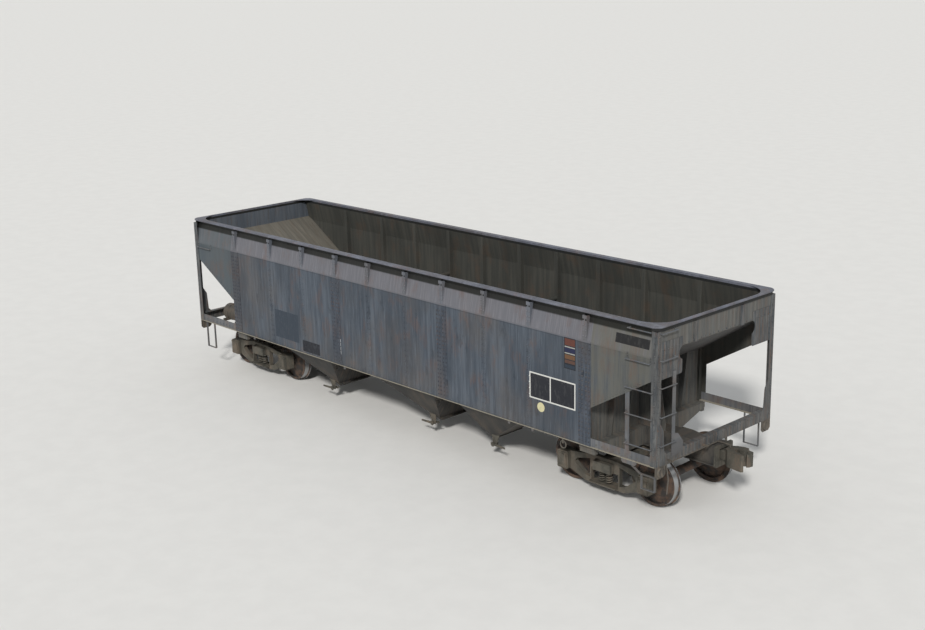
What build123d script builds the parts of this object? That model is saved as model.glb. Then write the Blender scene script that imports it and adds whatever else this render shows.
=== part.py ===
from build123d import *
import os
from math import atan, cos, sin, tan

# Triple open hopper wagon with offset sides, on two plain-bearing bogies. Millimetres.
# X runs along the wagon, Y across it, Z up. The origin is on the floor under the wagon's centre,
# at the lowest points of the wheel flanges.

os.makedirs("parts", exist_ok=True)

# Wheels
WHEEL_R = 419
FLANGE_H = 25
RIM_W = 145
BACK_TO_BACK = 1350
HUB_R = 130
AXLE_R = 74
JOURNAL_R = 70
JOURNAL_Y = 990
JOURNAL_END = JOURNAL_Y + 100
JOURNAL_PLAY = 5

# Height of the rail head above the flange bottoms
RAIL = FLANGE_H
AXLE_Z = RAIL + WHEEL_R

# Bogies
BOGIE_X = 4850
WHEELBASE = 1727
FRAME_T = 84
FRAME_LOW = AXLE_Z - 269
FRAME_TOP = AXLE_Z + 236
BOX_W = 236
BOX_ROUND = 30
BOX_LOW = AXLE_Z - 147
BOX_TOP = AXLE_Z + 171
BOX_IN_Y = JOURNAL_Y - 102
BOX_OUT_Y = JOURNAL_Y + 122
LID_T = 16
COLUMN_X = 205
SEAT_Z = AXLE_Z - 214
SEAT_X = 290
BOLSTER_LOW = AXLE_Z + 13
BOLSTER_TOP = AXLE_Z + 173
BOLSTER_W = 380
BOLSTER_Y = JOURNAL_Y + 130
CENTRE_PLATE_Z = AXLE_Z + 221
CENTRE_PLATE_R = 165
BOWL_RIM = 24
SIDE_BEARING_Y = 635
SPRING_R = 62
SPRING_X = 75
SPRING_TURNS = 4
SHOE_GAP = 6
SHOE_T = 42
SHOE_W = 84

# Underframe
SILL_LOW = CENTRE_PLATE_Z + 71
SILL_TOP = SILL_LOW + 325
SILL_WEB_Y = 163
SILL_FLANGE_Y = 230
SILL_T = 16
COUPLER_Z = SILL_LOW + 165

# Sides
SIDE_Y = 1546
SHEET = 6
SIDE_LOW = SILL_TOP + 4
CHORD_LOW = SIDE_LOW + 2175
CHORD_H = 85
CHORD_Y = SIDE_Y + 29
CHORD_STEM = 24
BULB_R = 18
BREAK_Z = CHORD_LOW - 415
UPPER_Y = SIDE_Y - 84
SIDE_SILL_H = 140
SIDE_SILL_T = 10
SIDE_SILL_LIP = 16
SIDE_SILL_IN = 52
RIDGE_X = 1500
STAKE_X = (525, RIDGE_X, RIDGE_X + 1050, BOGIE_X - 1230, BOGIE_X)
STAKE_W = 90
SPLICE_X = (RIDGE_X, BOGIE_X)
SPLICE_W = 250

# Ends
END_X = BOGIE_X + 1450
CHORD_X = END_X + 40
CORNER_R = 150
END_SHEET_LOW = CHORD_LOW - 335
SIDE_END_X = BOGIE_X + 130
DIAGONAL_LOW = SIDE_LOW + 660
DIAGONAL_HIGH = CHORD_LOW - 740
POST_LEG = 100
POST_T = 10
END_SILL_H = 170
END_SILL_D = 90
STRIKER_X = END_X + 150
COUPLING_X = STRIKER_X + 450

# Hoppers
LIP_Z = RAIL + 310
LIP_X = RIDGE_X + 700
HINGE_Z = SIDE_LOW - 180
RIDGE_Z = SIDE_LOW + 570
CHUTE_LOW_Y = 980
HOOD_Y = SILL_FLANGE_Y + 10
HOOD_EAVE = SILL_TOP + 24
HOOD_TOP = HOOD_EAVE + 190
DOOR_T = 8
DOOR_GAP = 0.5
HINGE_PIN_R = 12
EYE_R = 22
PIN_GAP = 0.3

CHORD_TOP = CHORD_LOW + CHORD_H
INNER_Y = SIDE_Y - SHEET
LEAN = atan((SIDE_Y - UPPER_Y) / (CHORD_LOW - BREAK_Z))
UPPER_IN_Y = UPPER_Y - SHEET / cos(LEAN)
BREAK_IN_Z = BREAK_Z - SHEET * tan(LEAN / 2)
SIDE_SILL_TOP = SIDE_LOW + SIDE_SILL_H
SILL_FOOT_LOW = SIDE_LOW - SIDE_SILL_T
SILL_IN_Y = INNER_Y - SIDE_SILL_IN
POST_IN_Y = SIDE_Y - POST_LEG
FAR = 8000

# The middle hopper's lip mirrors the next hopper's about the ridge between them.
MIDDLE_LIP_X = 2 * RIDGE_X - LIP_X
DOOR_SLOPE = (RIDGE_Z - LIP_Z) / (LIP_X - RIDGE_X)
DOOR_ANGLE = atan(DOOR_SLOPE)
HINGE_X = (HINGE_Z - LIP_Z) / DOOR_SLOPE

# Hoppers: name, x of the lip, way the door faces
HOPPERS = (
    ("1", -LIP_X, 1),
    ("2", MIDDLE_LIP_X, 1),
    ("3", LIP_X, -1),
)
# Sides: name, sign of y
SIDES = (("near", -1), ("far", 1))
# Ends: name, sign of x
ENDS = (("right", 1), ("left", -1))


def outline(plane, points):
    """A face with straight edges on a plane."""
    with BuildSketch(plane) as face:
        with BuildLine():
            Polyline(*points, close=True)
        make_face()
    return face.sketch


def strip(plane, points, thickness, side=Side.RIGHT):
    """The section of a bent sheet laid on one side of a line of points."""
    with BuildSketch(plane) as face:
        with BuildLine():
            Polyline(*points)
            offset(amount=thickness, side=side)
        make_face()
    return face.sketch


def rod(points, rod_r):
    """A round bar along a line of points, with mitred bends."""
    with BuildPart() as bar:
        with BuildLine() as path:
            Polyline(*points)
        with BuildSketch(Plane(origin=path.line @ 0, z_dir=path.line % 0)):
            Circle(rod_r)
        sweep(transition=Transition.RIGHT)
    return bar.part


def save(piece, name, x=0, turn=0):
    """Label a finished piece and write it, turned about Z and moved along the wagon if need be."""
    placed = piece.part.moved(Location((x, 0, 0), (0, 0, turn)))
    placed.label = name
    export_step(placed, f"parts/{name}.step")


# Room inside the sides, the sills and the sloped chute plates
inside_half = (
    (0, LIP_Z - 100),
    (CHUTE_LOW_Y - 70, LIP_Z - 100),
    (SILL_IN_Y, SILL_FOOT_LOW),
    (SILL_IN_Y, SIDE_LOW),
    (INNER_Y - SIDE_SILL_T, SIDE_LOW),
    (INNER_Y - SIDE_SILL_T, SIDE_SILL_TOP),
    (INNER_Y, SIDE_SILL_TOP),
    (INNER_Y, BREAK_IN_Z),
    (UPPER_IN_Y, CHORD_LOW),
    (0, CHORD_LOW),
)
with BuildPart() as inside:
    extrude(outline(Plane.YZ, inside_half), amount=FAR, both=True)
    mirror(about=Plane.XZ)

# Room between the two rows of chutes, which the centre sill passes through
with BuildPart() as sill_room:
    with BuildSketch(Plane.XY):
        Rectangle(2 * FAR, 2 * (HOOD_Y - SHEET))
    extrude(amount=SILL_TOP)

# Side sheets, bent inwards above the break line, slanted at the ends
side_line = ((-SIDE_Y, SIDE_LOW), (-SIDE_Y, BREAK_Z), (-UPPER_Y, CHORD_LOW))
side_shape = (
    (-SIDE_END_X, SIDE_LOW),
    (SIDE_END_X, SIDE_LOW),
    (SIDE_END_X, DIAGONAL_LOW),
    (END_X, DIAGONAL_HIGH),
    (END_X, CHORD_LOW),
    (-END_X, CHORD_LOW),
    (-END_X, DIAGONAL_HIGH),
    (-SIDE_END_X, DIAGONAL_LOW),
)
with BuildPart() as side_sheets:
    extrude(strip(Plane.YZ, side_line, SHEET), amount=END_X, both=True)
    mirror(about=Plane.XZ)
    extrude(outline(Plane.XZ, side_shape), amount=FAR, both=True, mode=Mode.INTERSECT)
save(side_sheets, "side_sheets")

# Top chord: a bulb angle round the mouth, with rounded corners and a plate inside each corner
BULB_LOW = CHORD_TOP - 2 * BULB_R
CORNER_X = CHORD_X - CORNER_R
CORNER_Y = CHORD_Y - CORNER_R
CORNER_LEG = 450
CORNER_T = 10
CORNER_LAP = 30
MOUTH_X = END_X - SHEET
MOUTH_Y = UPPER_Y - SHEET


def chord_section(plane, reach, overhang):
    """The bulb angle's section, its outer edge at reach from the plane's origin."""
    back = reach - overhang - SHEET
    with BuildSketch(plane) as section:
        with BuildLine():
            Line((-back, CHORD_LOW), (-back, CHORD_TOP))
            Line((-back, CHORD_TOP), (-reach + BULB_R, CHORD_TOP))
            RadiusArc((-reach + BULB_R, CHORD_TOP), (-reach + BULB_R, BULB_LOW), -BULB_R)
            Line((-reach + BULB_R, BULB_LOW), (-back - CHORD_STEM, BULB_LOW + BULB_R))
            Line((-back - CHORD_STEM, BULB_LOW + BULB_R), (-back - CHORD_STEM, CHORD_LOW))
            Line((-back - CHORD_STEM, CHORD_LOW), (-back, CHORD_LOW))
        make_face()
    return section.sketch


END_PLANE = Plane(origin=(0, 0, 0), x_dir=(-1, 0, 0), z_dir=(0, 1, 0))
corner_axis = Axis((CORNER_X, -CORNER_Y, 0), (0, 0, 1))
with BuildPart() as end_chords:
    extrude(chord_section(END_PLANE, CHORD_X, CHORD_X - END_X), amount=CORNER_Y, both=True)
    mirror(about=Plane.YZ)
save(end_chords, "end_top_chords")
with BuildPart() as side_chords:
    with BuildSketch(Plane.XY.offset(CHORD_TOP - CORNER_T)):
        with BuildLine():
            Line((MOUTH_X - CORNER_LEG, -MOUTH_Y), (MOUTH_X - CORNER_LEG, CORNER_LAP - CHORD_Y))
            Line((MOUTH_X - CORNER_LEG, CORNER_LAP - CHORD_Y), (CORNER_X, CORNER_LAP - CHORD_Y))
            RadiusArc((CORNER_X, CORNER_LAP - CHORD_Y), (CHORD_X - CORNER_LAP, -CORNER_Y), CORNER_LAP - CORNER_R)
            Line((CHORD_X - CORNER_LAP, -CORNER_Y), (CHORD_X - CORNER_LAP, CORNER_LEG - MOUTH_Y))
            Line((CHORD_X - CORNER_LAP, CORNER_LEG - MOUTH_Y), (MOUTH_X, CORNER_LEG - MOUTH_Y))
            RadiusArc((MOUTH_X, CORNER_LEG - MOUTH_Y), (MOUTH_X - CORNER_LEG, -MOUTH_Y), CORNER_LEG)
        make_face()
    extrude(amount=CORNER_T)
    add(end_chords.part, mode=Mode.SUBTRACT)
    revolve(chord_section(Plane.YZ.offset(CORNER_X), CHORD_Y, CHORD_X - END_X), axis=corner_axis, revolution_arc=90)
    mirror(about=Plane.YZ)
    extrude(chord_section(Plane.YZ, CHORD_Y, CHORD_Y - UPPER_Y), amount=CORNER_X, both=True)
    mirror(about=Plane.XZ)
save(side_chords, "side_top_chords")

# Side sills: an upright leg behind the sheet, and a foot that shows as a lip under it
side_sill_shape = (
    (-SIDE_Y - SIDE_SILL_LIP, SIDE_LOW),
    (-SIDE_Y - SIDE_SILL_LIP, SILL_FOOT_LOW),
    (-SILL_IN_Y, SILL_FOOT_LOW),
    (-SILL_IN_Y, SIDE_LOW),
    (-INNER_Y + SIDE_SILL_T, SIDE_LOW),
    (-INNER_Y + SIDE_SILL_T, SIDE_SILL_TOP),
    (-INNER_Y, SIDE_SILL_TOP),
    (-INNER_Y, SIDE_LOW),
)
with BuildPart() as side_sills:
    extrude(outline(Plane.YZ, side_sill_shape), amount=END_X - POST_T, both=True)
    mirror(about=Plane.XZ)
save(side_sills, "side_sills")

# Floors: the end slopes and the two ridges between the hoppers, trimmed to the room inside
end_line = ((END_X - SHEET, END_SHEET_LOW), (LIP_X, LIP_Z))
with BuildPart() as slope_sheets:
    extrude(strip(Plane.XZ, end_line, SHEET, Side.LEFT), amount=SIDE_Y, both=True)
    mirror(about=Plane.YZ)
    add(inside.part, mode=Mode.INTERSECT)
    add(sill_room.part, mode=Mode.SUBTRACT)
save(slope_sheets, "end_slope_sheets")

ridge_1 = (
    (-LIP_X + HINGE_X, HINGE_Z),
    (-RIDGE_X, RIDGE_Z),
    (MIDDLE_LIP_X, LIP_Z),
)
ridge_2 = (
    (MIDDLE_LIP_X + HINGE_X, HINGE_Z),
    (RIDGE_X, RIDGE_Z),
    (LIP_X - HINGE_X, HINGE_Z),
)
with BuildPart() as ridges:
    extrude(strip(Plane.XZ, ridge_1, SHEET), amount=SIDE_Y, both=True)
    extrude(strip(Plane.XZ, ridge_2, SHEET), amount=SIDE_Y, both=True)
    add(inside.part, mode=Mode.INTERSECT)
    add(sill_room.part, mode=Mode.SUBTRACT)
save(ridges, "cross_ridges")


# Room of the load above the floors, and the room of the three bays down to their lips
room_line = (
    (-END_X + SHEET, END_SHEET_LOW),
    (-LIP_X, LIP_Z),
    (-RIDGE_X, RIDGE_Z),
    (MIDDLE_LIP_X, LIP_Z),
    (RIDGE_X, RIDGE_Z),
    (LIP_X, LIP_Z),
    (END_X - SHEET, END_SHEET_LOW),
    (END_X - SHEET, CHORD_TOP),
    (-END_X + SHEET, CHORD_TOP),
)
with BuildPart() as load_room:
    extrude(outline(Plane.XZ, room_line), amount=FAR, both=True)

# Chute plates: sloped ones under the side sills, upright ones beside the centre sill
chute_line = ((-SILL_IN_Y, SILL_FOOT_LOW), (-CHUTE_LOW_Y, LIP_Z))
with BuildPart() as chute_sides:
    extrude(strip(Plane.YZ, chute_line, SHEET), amount=LIP_X * 2, both=True)
    mirror(about=Plane.XZ)
    add(load_room.part, mode=Mode.INTERSECT)
save(chute_sides, "chute_side_plates")

with BuildPart() as chute_walls:
    with BuildSketch(Plane.YZ):
        with Locations((-HOOD_Y + SHEET / 2, (LIP_Z + HOOD_EAVE) / 2)):
            Rectangle(SHEET, HOOD_EAVE - LIP_Z)
    extrude(amount=LIP_X * 2, both=True)
    mirror(about=Plane.XZ)
    add(load_room.part, mode=Mode.INTERSECT)
save(chute_walls, "chute_inner_plates")

# Cover over the centre sill, between the floors
hood_line = ((-HOOD_Y, HOOD_EAVE), (0, HOOD_TOP), (HOOD_Y, HOOD_EAVE))
with BuildPart() as hood:
    extrude(strip(Plane.YZ, hood_line, SHEET, Side.LEFT), amount=END_X, both=True)
    add(load_room.part, mode=Mode.INTERSECT)
save(hood, "centre_sill_cover")

# Side stakes: square pressings inside the sheet below its bend and outside it above
STAKE_Y = (SIDE_Y + UPPER_IN_Y) / 2
STAKE_D = SIDE_Y - UPPER_IN_Y
with BuildPart() as stakes:
    for x in STAKE_X:
        with BuildSketch(Plane.XY.offset(SIDE_LOW)):
            with Locations((x, -STAKE_Y)):
                Rectangle(STAKE_W, STAKE_D)
                Rectangle(STAKE_W - 2 * SHEET, STAKE_D - 2 * SHEET, mode=Mode.SUBTRACT)
        extrude(amount=CHORD_LOW - SIDE_LOW)
    mirror(about=Plane.YZ)
    mirror(about=Plane.XZ)
    for cutter in (side_sheets, side_sills, slope_sheets, ridges):
        add(cutter.part, mode=Mode.SUBTRACT)
save(stakes, "side_stakes")

# Splice plates over the joints of the side sheets
with BuildPart() as splices:
    with BuildSketch(Plane.XZ.offset(SIDE_Y)):
        for x in SPLICE_X:
            with Locations((x, (SIDE_LOW + BREAK_Z) / 2)):
                Rectangle(SPLICE_W, BREAK_Z - SIDE_LOW)
    extrude(amount=SHEET)
    mirror(about=Plane.YZ)
    mirror(about=Plane.XZ)
save(splices, "splice_plates")

# Corner posts: angles from the side sill to the top chord
post_plan = (
    (END_X - POST_LEG, -SIDE_Y),
    (END_X - POST_LEG, -SIDE_Y - POST_T),
    (END_X + POST_T, -SIDE_Y - POST_T),
    (END_X + POST_T, -SIDE_Y + POST_LEG),
    (END_X, -SIDE_Y + POST_LEG),
    (END_X, -SIDE_Y),
)
with BuildPart() as posts:
    extrude(outline(Plane.XY.offset(SIDE_LOW), post_plan), amount=CHORD_LOW - SIDE_LOW)
    mirror(about=Plane.XZ)
    mirror(about=Plane.YZ)
save(posts, "corner_posts")

# End sheets
with BuildPart() as end_sheets:
    with BuildSketch(Plane.YZ.offset(END_X)):
        with Locations((0, (END_SHEET_LOW + CHORD_LOW) / 2)):
            Rectangle(2 * INNER_Y, CHORD_LOW - END_SHEET_LOW)
    extrude(amount=-SHEET)
    add(inside.part, mode=Mode.INTERSECT)
    mirror(about=Plane.YZ)
save(end_sheets, "end_sheets")

# Corner gussets on the ends, with a round notch under the end sheet
GUSSET_LOW = END_SHEET_LOW - 440
GUSSET_Y = POST_IN_Y - 520
GUSSET_LAP = 150
GUSSET_ROUND = 40
NOTCH_H = 220
NOTCH_R = 115
with BuildPart() as gussets:
    with BuildSketch(Plane.YZ.offset(END_X)):
        with BuildLine():
            Line((-POST_IN_Y, END_SHEET_LOW + GUSSET_LAP), (-POST_IN_Y, GUSSET_LOW))
            Line((-POST_IN_Y, GUSSET_LOW), (-GUSSET_Y - GUSSET_ROUND, GUSSET_LOW))
            RadiusArc((-GUSSET_Y - GUSSET_ROUND, GUSSET_LOW), (-GUSSET_Y, GUSSET_LOW + GUSSET_ROUND), -GUSSET_ROUND)
            Line((-GUSSET_Y, GUSSET_LOW + GUSSET_ROUND), (-GUSSET_Y, END_SHEET_LOW - NOTCH_H))
            RadiusArc((-GUSSET_Y, END_SHEET_LOW - NOTCH_H), (-GUSSET_Y, END_SHEET_LOW), NOTCH_R)
            Line((-GUSSET_Y, END_SHEET_LOW), (-GUSSET_Y, END_SHEET_LOW + GUSSET_LAP))
            Line((-GUSSET_Y, END_SHEET_LOW + GUSSET_LAP), (-POST_IN_Y, END_SHEET_LOW + GUSSET_LAP))
        make_face()
    extrude(amount=SHEET)
    mirror(about=Plane.XZ)
    mirror(about=Plane.YZ)
save(gussets, "end_gussets")

# End stakes: two pressings on each end sheet, under the chord
END_STAKE_Y = 620
END_STAKE_W = 70
END_STAKE_D = 36
with BuildPart() as end_stakes:
    with BuildSketch(Plane.XY.offset(END_SHEET_LOW)):
        with Locations((END_X + END_STAKE_D / 2, END_STAKE_Y)):
            Rectangle(END_STAKE_D, END_STAKE_W)
        with Locations((END_X + (END_STAKE_D - SHEET) / 2, END_STAKE_Y)):
            Rectangle(END_STAKE_D - SHEET, END_STAKE_W - 2 * SHEET, mode=Mode.SUBTRACT)
    extrude(amount=CHORD_LOW - END_SHEET_LOW)
    mirror(about=Plane.XZ)
    mirror(about=Plane.YZ)
save(end_stakes, "end_stakes")

# End sills: a web between the posts, raised beside each, with two flanges behind it
END_SILL_LOW = SILL_FOOT_LOW
END_SILL_TOP = END_SILL_LOW + END_SILL_H
END_SILL_FIT = 10
KNEE_H = 705
KNEE_SHOULDER_H = 570
KNEE_FOOT_H = 220
KNEE_W = 106
KNEE_BEVEL = 24
end_sill_half = (
    (0, END_SILL_LOW),
    (-POST_IN_Y, END_SILL_LOW),
    (-POST_IN_Y, END_SILL_LOW + KNEE_H),
    (-POST_IN_Y + KNEE_W - KNEE_BEVEL, END_SILL_LOW + KNEE_SHOULDER_H),
    (-POST_IN_Y + KNEE_W, END_SILL_LOW + KNEE_FOOT_H),
    (-POST_IN_Y + KNEE_W + KNEE_FOOT_H - END_SILL_H, END_SILL_TOP),
    (0, END_SILL_TOP),
)
with BuildPart() as end_sills:
    extrude(outline(Plane.YZ.offset(END_X), end_sill_half), amount=POST_T)
    mirror(about=Plane.XZ)
    for z in (END_SILL_LOW, END_SILL_TOP - POST_T):
        with BuildSketch(Plane.XY.offset(z)):
            with Locations((END_X - END_SILL_D / 2, 0)):
                Rectangle(END_SILL_D, 2 * (SILL_IN_Y - END_SILL_FIT))
        extrude(amount=POST_T)
    add(sill_room.part, mode=Mode.SUBTRACT)
    mirror(about=Plane.YZ)
save(end_sills, "end_sills")

# Poling pockets: a dished casting under each corner post
POCKET_H = 200
POCKET_W = 256
POCKET_BEVEL = 45
POCKET_R = 88
POCKET_RIM = 16
POCKET_D = 28
pocket_out_y = SIDE_Y + POST_T
pocket_plate = (
    (-pocket_out_y, SIDE_LOW),
    (-pocket_out_y, SILL_FOOT_LOW - POCKET_H + POCKET_BEVEL),
    (-pocket_out_y + POCKET_BEVEL, SILL_FOOT_LOW - POCKET_H),
    (-pocket_out_y + POCKET_W - POCKET_BEVEL, SILL_FOOT_LOW - POCKET_H),
    (-pocket_out_y + POCKET_W, SILL_FOOT_LOW - POCKET_H + POCKET_BEVEL),
    (-pocket_out_y + POCKET_W, SILL_FOOT_LOW),
    (-POST_IN_Y, SILL_FOOT_LOW),
    (-POST_IN_Y, SIDE_LOW),
)
pocket_face = END_X + POST_T
pocket_dish = (
    (pocket_face, 0),
    (pocket_face, POCKET_R),
    (pocket_face + POCKET_D, POCKET_R - POCKET_RIM / 2),
    (pocket_face + POCKET_D, POCKET_R - POCKET_RIM),
    (pocket_face + POCKET_RIM / 2, POCKET_R / 3),
    (pocket_face + POCKET_RIM / 2, 0),
)
pocket_plane = Plane(
    origin=(0, POCKET_W / 2 - pocket_out_y, SILL_FOOT_LOW - POCKET_H / 2), x_dir=(1, 0, 0), z_dir=(0, -1, 0)
)
with BuildPart() as pockets:
    extrude(outline(Plane.YZ.offset(END_X), pocket_plate), amount=POST_T)
    revolve(outline(pocket_plane, pocket_dish), axis=Axis(pocket_plane.origin, (1, 0, 0)))
    mirror(about=Plane.XZ)
    mirror(about=Plane.YZ)
save(pockets, "poling_pockets")

# Centre sill: two Z bars joined along the top
SILL_FOOT_Z = SILL_LOW + SILL_T
sill_line = (
    (-SILL_FLANGE_Y, SILL_FOOT_Z),
    (-SILL_WEB_Y, SILL_FOOT_Z),
    (-SILL_WEB_Y, SILL_TOP),
    (SILL_WEB_Y, SILL_TOP),
    (SILL_WEB_Y, SILL_FOOT_Z),
    (SILL_FLANGE_Y, SILL_FOOT_Z),
)
with BuildPart() as centre_sill:
    extrude(strip(Plane.YZ, sill_line, SILL_T), amount=STRIKER_X, both=True)
save(centre_sill, "centre_sill")

# Body bolsters: a tapered beam with jacking pads, a plate up to the slope sheet, side bearings and
# the centre plate
BOLSTER_HALF = 160
PLATE_T = 10
SIDE_BEARING_H = 45
BEARING_PAD = 110
BEAM_FIT = 4
BEAM_KNEE = 150
BEAM_TIP_H = 90
JACK_IN_Y = 1390
JACK_W = 80
JACK_DROP = 36
beam_tip_y = SILL_IN_Y - BEAM_FIT
beam_knee_y = SIDE_BEARING_Y + BEAM_KNEE
beam_rise = (SILL_FOOT_LOW - BEAM_TIP_H - SILL_LOW) / (beam_tip_y - beam_knee_y)
jack_in_z = SILL_LOW + beam_rise * (JACK_IN_Y - beam_knee_y)
jack_out_z = jack_in_z + beam_rise * JACK_W
beam_half = (
    (SILL_WEB_Y, SILL_FOOT_Z),
    (SILL_FLANGE_Y + BEAM_FIT, SILL_FOOT_Z),
    (SILL_FLANGE_Y + BEAM_FIT, SILL_LOW),
    (beam_knee_y, SILL_LOW),
    (JACK_IN_Y, jack_in_z),
    (JACK_IN_Y, jack_in_z - JACK_DROP),
    (JACK_IN_Y + JACK_W, jack_in_z - JACK_DROP),
    (JACK_IN_Y + JACK_W, jack_out_z),
    (beam_tip_y, SILL_FOOT_LOW - BEAM_TIP_H),
    (beam_tip_y, SILL_FOOT_LOW),
    (SILL_WEB_Y, SILL_FOOT_LOW),
)
plate_half = (
    (SILL_WEB_Y, SILL_FOOT_LOW),
    (UPPER_IN_Y, SILL_FOOT_LOW),
    (UPPER_IN_Y, BREAK_Z),
    (0, BREAK_Z),
    (0, SILL_TOP),
    (SILL_WEB_Y, SILL_TOP),
)
# Ribs on the outer face of the plate, under the slope sheet
RIB_Y = (500, 940)
RIB_FOOT_W = 60
RIB_TOP_W = 240
rib_shape = (
    (BOGIE_X, SILL_FOOT_LOW),
    (BOGIE_X + RIB_FOOT_W, SILL_FOOT_LOW),
    (BOGIE_X + RIB_TOP_W, BREAK_Z),
    (BOGIE_X, BREAK_Z),
)
with BuildPart() as body_bolsters:
    extrude(outline(Plane.YZ.offset(BOGIE_X - BOLSTER_HALF), beam_half), amount=2 * BOLSTER_HALF)
    extrude(outline(Plane.YZ.offset(BOGIE_X - PLATE_T / 2), plate_half), amount=PLATE_T)
    with BuildSketch(Plane.XY.offset(SILL_LOW - SIDE_BEARING_H)):
        with Locations((BOGIE_X, SIDE_BEARING_Y)):
            Rectangle(BOLSTER_HALF, BEARING_PAD)
    extrude(amount=SIDE_BEARING_H)
    for y in RIB_Y:
        extrude(outline(Plane.XZ.offset(y - PLATE_T / 2), rib_shape), amount=PLATE_T)
    mirror(about=Plane.XZ)
    add(load_room.part, mode=Mode.SUBTRACT)
    add(slope_sheets.part, mode=Mode.SUBTRACT)
    with BuildSketch(Plane.XY.offset(CENTRE_PLATE_Z + PIN_GAP)):
        with Locations((BOGIE_X, 0)):
            Circle(CENTRE_PLATE_R)
    extrude(amount=SILL_LOW - CENTRE_PLATE_Z - PIN_GAP)
    mirror(about=Plane.YZ)
save(body_bolsters, "body_bolsters")

# Upright plates on the centre sill that carry the end slopes
BRACE_LEN = 560
BRACE_TOE_H = 120
brace_x = BOGIE_X + PLATE_T / 2
brace_shape = (
    (brace_x, SILL_TOP),
    (brace_x + BRACE_LEN, SILL_TOP),
    (brace_x + BRACE_LEN, SILL_TOP + BRACE_TOE_H),
    (brace_x + BRACE_LEN / 2, BREAK_Z),
    (brace_x, BREAK_Z),
)
with BuildPart() as slope_braces:
    extrude(outline(Plane.XZ.offset(SILL_WEB_Y - SILL_T), brace_shape), amount=PLATE_T)
    mirror(about=Plane.XZ)
    mirror(about=Plane.YZ)
    add(load_room.part, mode=Mode.SUBTRACT)
    add(slope_sheets.part, mode=Mode.SUBTRACT)
save(slope_braces, "slope_braces")

# Cross ties over the ridges, with gusset plates at both sides
TIE_Z = CHORD_LOW - 915
TIE_R = 38
TIE_DROP = 58
GUSSET_TOP_W = 120
GUSSET_FOOT_W = 620
tie_gusset = (
    (-UPPER_IN_Y, RIDGE_Z),
    (-UPPER_IN_Y, TIE_Z - TIE_DROP),
    (-UPPER_IN_Y + GUSSET_TOP_W, TIE_Z - TIE_DROP),
    (-UPPER_IN_Y + GUSSET_FOOT_W, RIDGE_Z),
)
with BuildPart() as ties:
    with BuildSketch(Plane.XZ.offset(UPPER_IN_Y)):
        with Locations((RIDGE_X, TIE_Z)):
            Circle(TIE_R)
    extrude(amount=-2 * UPPER_IN_Y)
    mirror(about=Plane.YZ)
save(ties, "cross_ties")
with BuildPart() as ridge_gussets:
    extrude(outline(Plane.YZ.offset(RIDGE_X - PLATE_T / 2), tie_gusset), amount=PLATE_T)
    add(ridges.part, mode=Mode.SUBTRACT)
    mirror(about=Plane.XZ)
    mirror(about=Plane.YZ)
save(ridge_gussets, "ridge_gussets")

# Doors and their hinges. A point of a door's section is s along the door from its top edge
# and n out from the plane of the chute plates' edges.
DOOR_TOP = 12
DOOR_LAP = 24
DOOR_LEN = (HINGE_Z - LIP_Z) / sin(DOOR_ANGLE) + DOOR_LAP
DOOR_IN_Y = HOOD_Y - SHEET + 2
EYE_MARGIN_IN = 90
EYE_MARGIN_OUT = 258
EYE_SPAN = SILL_IN_Y - EYE_MARGIN_OUT - HOOD_Y - EYE_MARGIN_IN
EYE_Y = [HOOD_Y + EYE_MARGIN_IN + EYE_SPAN * share for share in (0, 0.5, 1)]
EYE_W = 44
LUG_W = 20
LUG_LEN = 88
STRAP_LEN = 176
LUG_GAP = 6
HINGE_OUT = EYE_R + 2 * SHEET


def door_point(lip_x, facing, s, n):
    """A point of a door's section in X and Z."""
    x = facing * (HINGE_X - s * cos(DOOR_ANGLE) + n * sin(DOOR_ANGLE))
    return (lip_x + x, HINGE_Z - s * sin(DOOR_ANGLE) - n * cos(DOOR_ANGLE))


def door_face(lip_x, facing, points):
    """A section on the XZ plane from points given along and out from a door."""
    return outline(Plane.XZ, [door_point(lip_x, facing, s, n) for s, n in points])


chute_rise = (SILL_IN_Y - CHUTE_LOW_Y) / (SILL_FOOT_LOW - LIP_Z)
door_low_y = CHUTE_LOW_Y - chute_rise * LIP_Z + SHEET
door_top_y = door_low_y + chute_rise * SIDE_LOW
DOOR_OUT = DOOR_GAP + DOOR_T
RIB_FOOT = 80
RIB_T = 10
RIB_H = 50
door_section = (
    (DOOR_TOP, DOOR_GAP),
    (DOOR_LEN, DOOR_GAP),
    (DOOR_LEN, DOOR_OUT),
    (DOOR_TOP, DOOR_OUT),
)
rib_section = (
    (DOOR_LEN - RIB_FOOT - RIB_T, DOOR_OUT),
    (DOOR_LEN - RIB_FOOT - RIB_T, DOOR_OUT + RIB_H),
    (DOOR_LEN - RIB_FOOT, DOOR_OUT + RIB_H),
    (DOOR_LEN - RIB_FOOT, DOOR_OUT),
)
strap_section = (
    (DOOR_TOP, DOOR_OUT),
    (DOOR_TOP, HINGE_OUT),
    (0, HINGE_OUT),
    (0, HINGE_OUT + EYE_R),
    (STRAP_LEN, DOOR_OUT),
)
LUG_BEVEL = 9
lug_section = (
    (EYE_R, HINGE_OUT - LUG_BEVEL),
    (LUG_BEVEL, SHEET),
    (-LUG_LEN, SHEET),
    (-EYE_R, HINGE_OUT + LUG_BEVEL),
    (-LUG_BEVEL, HINGE_OUT + EYE_R),
    (LUG_BEVEL, HINGE_OUT + EYE_R),
    (EYE_R, HINGE_OUT + LUG_BEVEL),
)
hinges = []
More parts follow.
